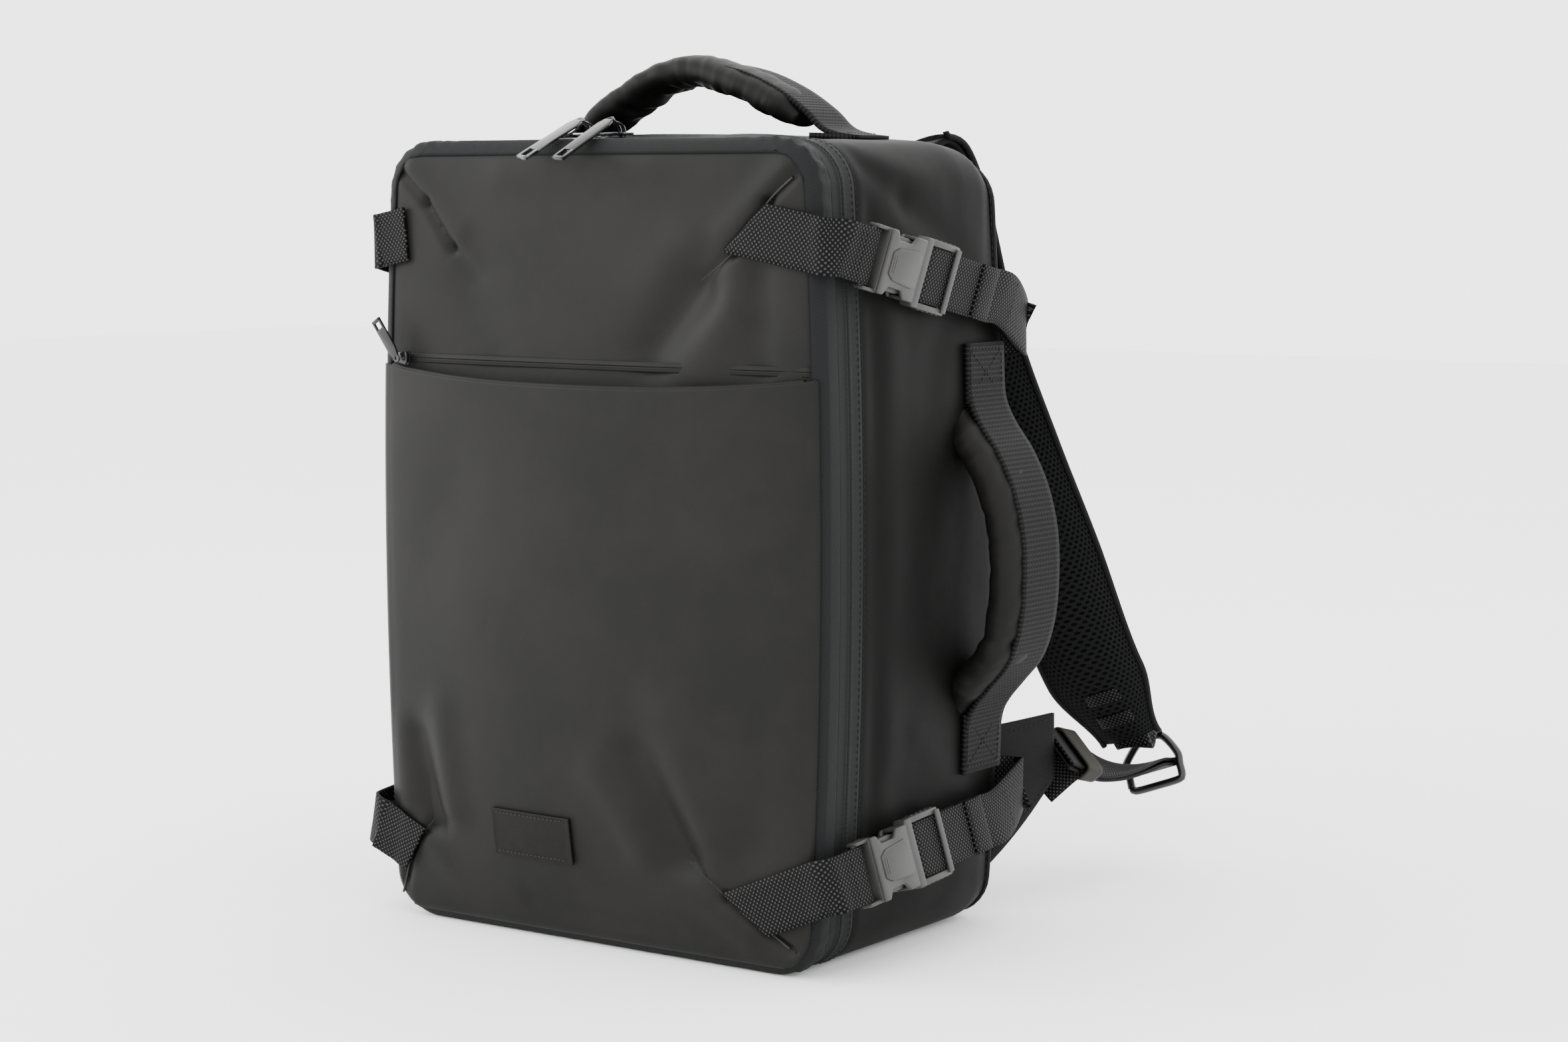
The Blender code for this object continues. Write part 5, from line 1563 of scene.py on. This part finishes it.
def makePullers():
    zipTop = bag["height"] - 0.2
    for name, (x, facing, splay, finish) in sliderSpots.items():
        y = pullers["sliderY"]
        bm = bmesh.new()
        sliderBody(bm, Matrix.Translation((x, y, zipTop + 0.6)) @ Matrix.Scale(facing, 4, (1, 0, 0)), 16.0,
                   11.0, 4.2)
        closeSeam(bm, 0.0001)
        bail = [(x, y + 4.0, zipTop + 4.4), (x, y + 2.4, zipTop + 8.0), (x, y - 1.0, zipTop + 9.6),
                (x, y - 5.5, zipTop + 10.8), (x, pullers["hingeY"] + 0.5, pullers["hingeZ"] + 0.9)]
        for shift in (-1.5, 1.5):
            arm = roundTube([Vector(p) + Vector((shift, 0, 0)) for p in bail], 0.8, 1.0, 8, 1.0, up=(1, 0, 0))
            addTo(bm, arm)
        finishPiece("zipSlider_" + name, bm, finish, "zip_slider_body_" + name, ["zip_slider_" + name],
                    sharp=32)
        turn = Matrix.Rotation(math.radians(pullers["slope"]), 4, "X")
        turn = turn @ Matrix.Rotation(math.radians(-splay), 4, "Z")
        place = Matrix.Translation((x, pullers["hingeY"], pullers["hingeZ"])) @ turn
        bm = bmesh.new()
        pullerShape(bm, place, pullers["length"], pullers["width"], 1.9, 9.0)
        finishPiece("zipPuller_" + name, bm, finish, "zip_puller_body_" + name, ["zip_puller_" + name],
                    sharp=32)


def makePocketZip():
    z = bag["pocketTop"] + pocketPull["above"]
    reach = halfWidth(z)
    # the slider rides an arc through the panel's middle and its two edges
    sag = lidFace(reach, z) - lidFace(0.0, z)
    radius = (reach * reach + sag * sag) / (2.0 * sag)
    centreY = lidFace(0.0, z) + radius
    place = Matrix.Translation((0, centreY, z)) @ Matrix.Rotation(math.asin(pocketPull["x"] / radius), 4, "Z")
    lying = place @ Matrix.Translation((0, -radius - 2.4, 0)) @ Matrix.Rotation(math.radians(90.0), 4, "X")
    bm = bmesh.new()
    sliderBody(bm, lying, 10.0, 8.0, 3.6)
    closeSeam(bm, 0.0001)
    finishPiece("pocketSlider", bm, "darkChrome", "pocket_slider_body", ["pocket_slider"],
                sharp=32)
    stand = lying @ Matrix.Translation((0, 1.0, pocketPull["stand"]))
    stand = stand @ Matrix.Rotation(math.radians(pocketPull["turn"]), 4, "Z")
    stand = stand @ Matrix.Rotation(math.radians(pocketPull["lean"]), 4, "X")
    bm = bmesh.new()
    pullerShape(bm, stand, pocketPull["length"], pocketPull["width"], 1.6, 6.0)
    finishPiece("pocketPuller", bm, "darkChrome", "pocket_puller_body", ["pocket_puller"],
                sharp=32)
    # concealed pocket zip: two narrow lips of coated fabric meeting over it
    for name, low, high in (("upper", 0.1, 2.6), ("lower", -2.6, -0.1)):
        def lip(u, v):
            x = (2 * u - 1) * (reach - 7.0)
            h = low + (high - low) * v
            return Vector((x, lidFace(x, z + h) - 0.25 - 0.35 * math.exp(-(h / 1.2) ** 2), z + h))
        bm = sheetGrid(120, 4, lip, (270.0, 3.4))
        finishPiece("pocketZipLip_" + name, bm, "coated", "lid", ["pocket_zip"], thick=0.3, side=0.0)


# floor, just under the base
ground = {"size": 6000.0, "level": -0.6}


def makeFloor():
    bm = bmesh.new()
    bmesh.ops.create_grid(bm, x_segments=8, y_segments=8, size=ground["size"])
    bmesh.ops.translate(bm, vec=(0, 0, ground["level"]), verts=bm.verts)
    bmesh.ops.transform(bm, matrix=Matrix.Scale(mm, 4), verts=bm.verts)
    mesh = bpy.data.meshes.new("floor")
    bm.to_mesh(mesh)
    bm.free()
    floor = bpy.data.objects.new("floor", mesh)
    mesh.materials.append(finishes["floor"])
    bpy.context.scene.collection.objects.link(floor)


makeFloor()
makeTub()
makeLinings()
print("tub and linings are made")
pocketSheet = makeFrontPanel()
makeDartSeams()
makeFlap()
makeMainZip()
print("front panel, pocket, flap and zip are made")
makeStraps()
print("straps and buckles are made")
grips = makeHandles()
pads = [makeShoulder(name, side) for name, side in sides.items()]
backPad = makeBackPanel()
print("handles, shoulder straps and back panel are made")
makePatch()
makePullers()
makePocketZip()
print("patch, sliders and pullers are made")
for piece in pads + [backPad]:
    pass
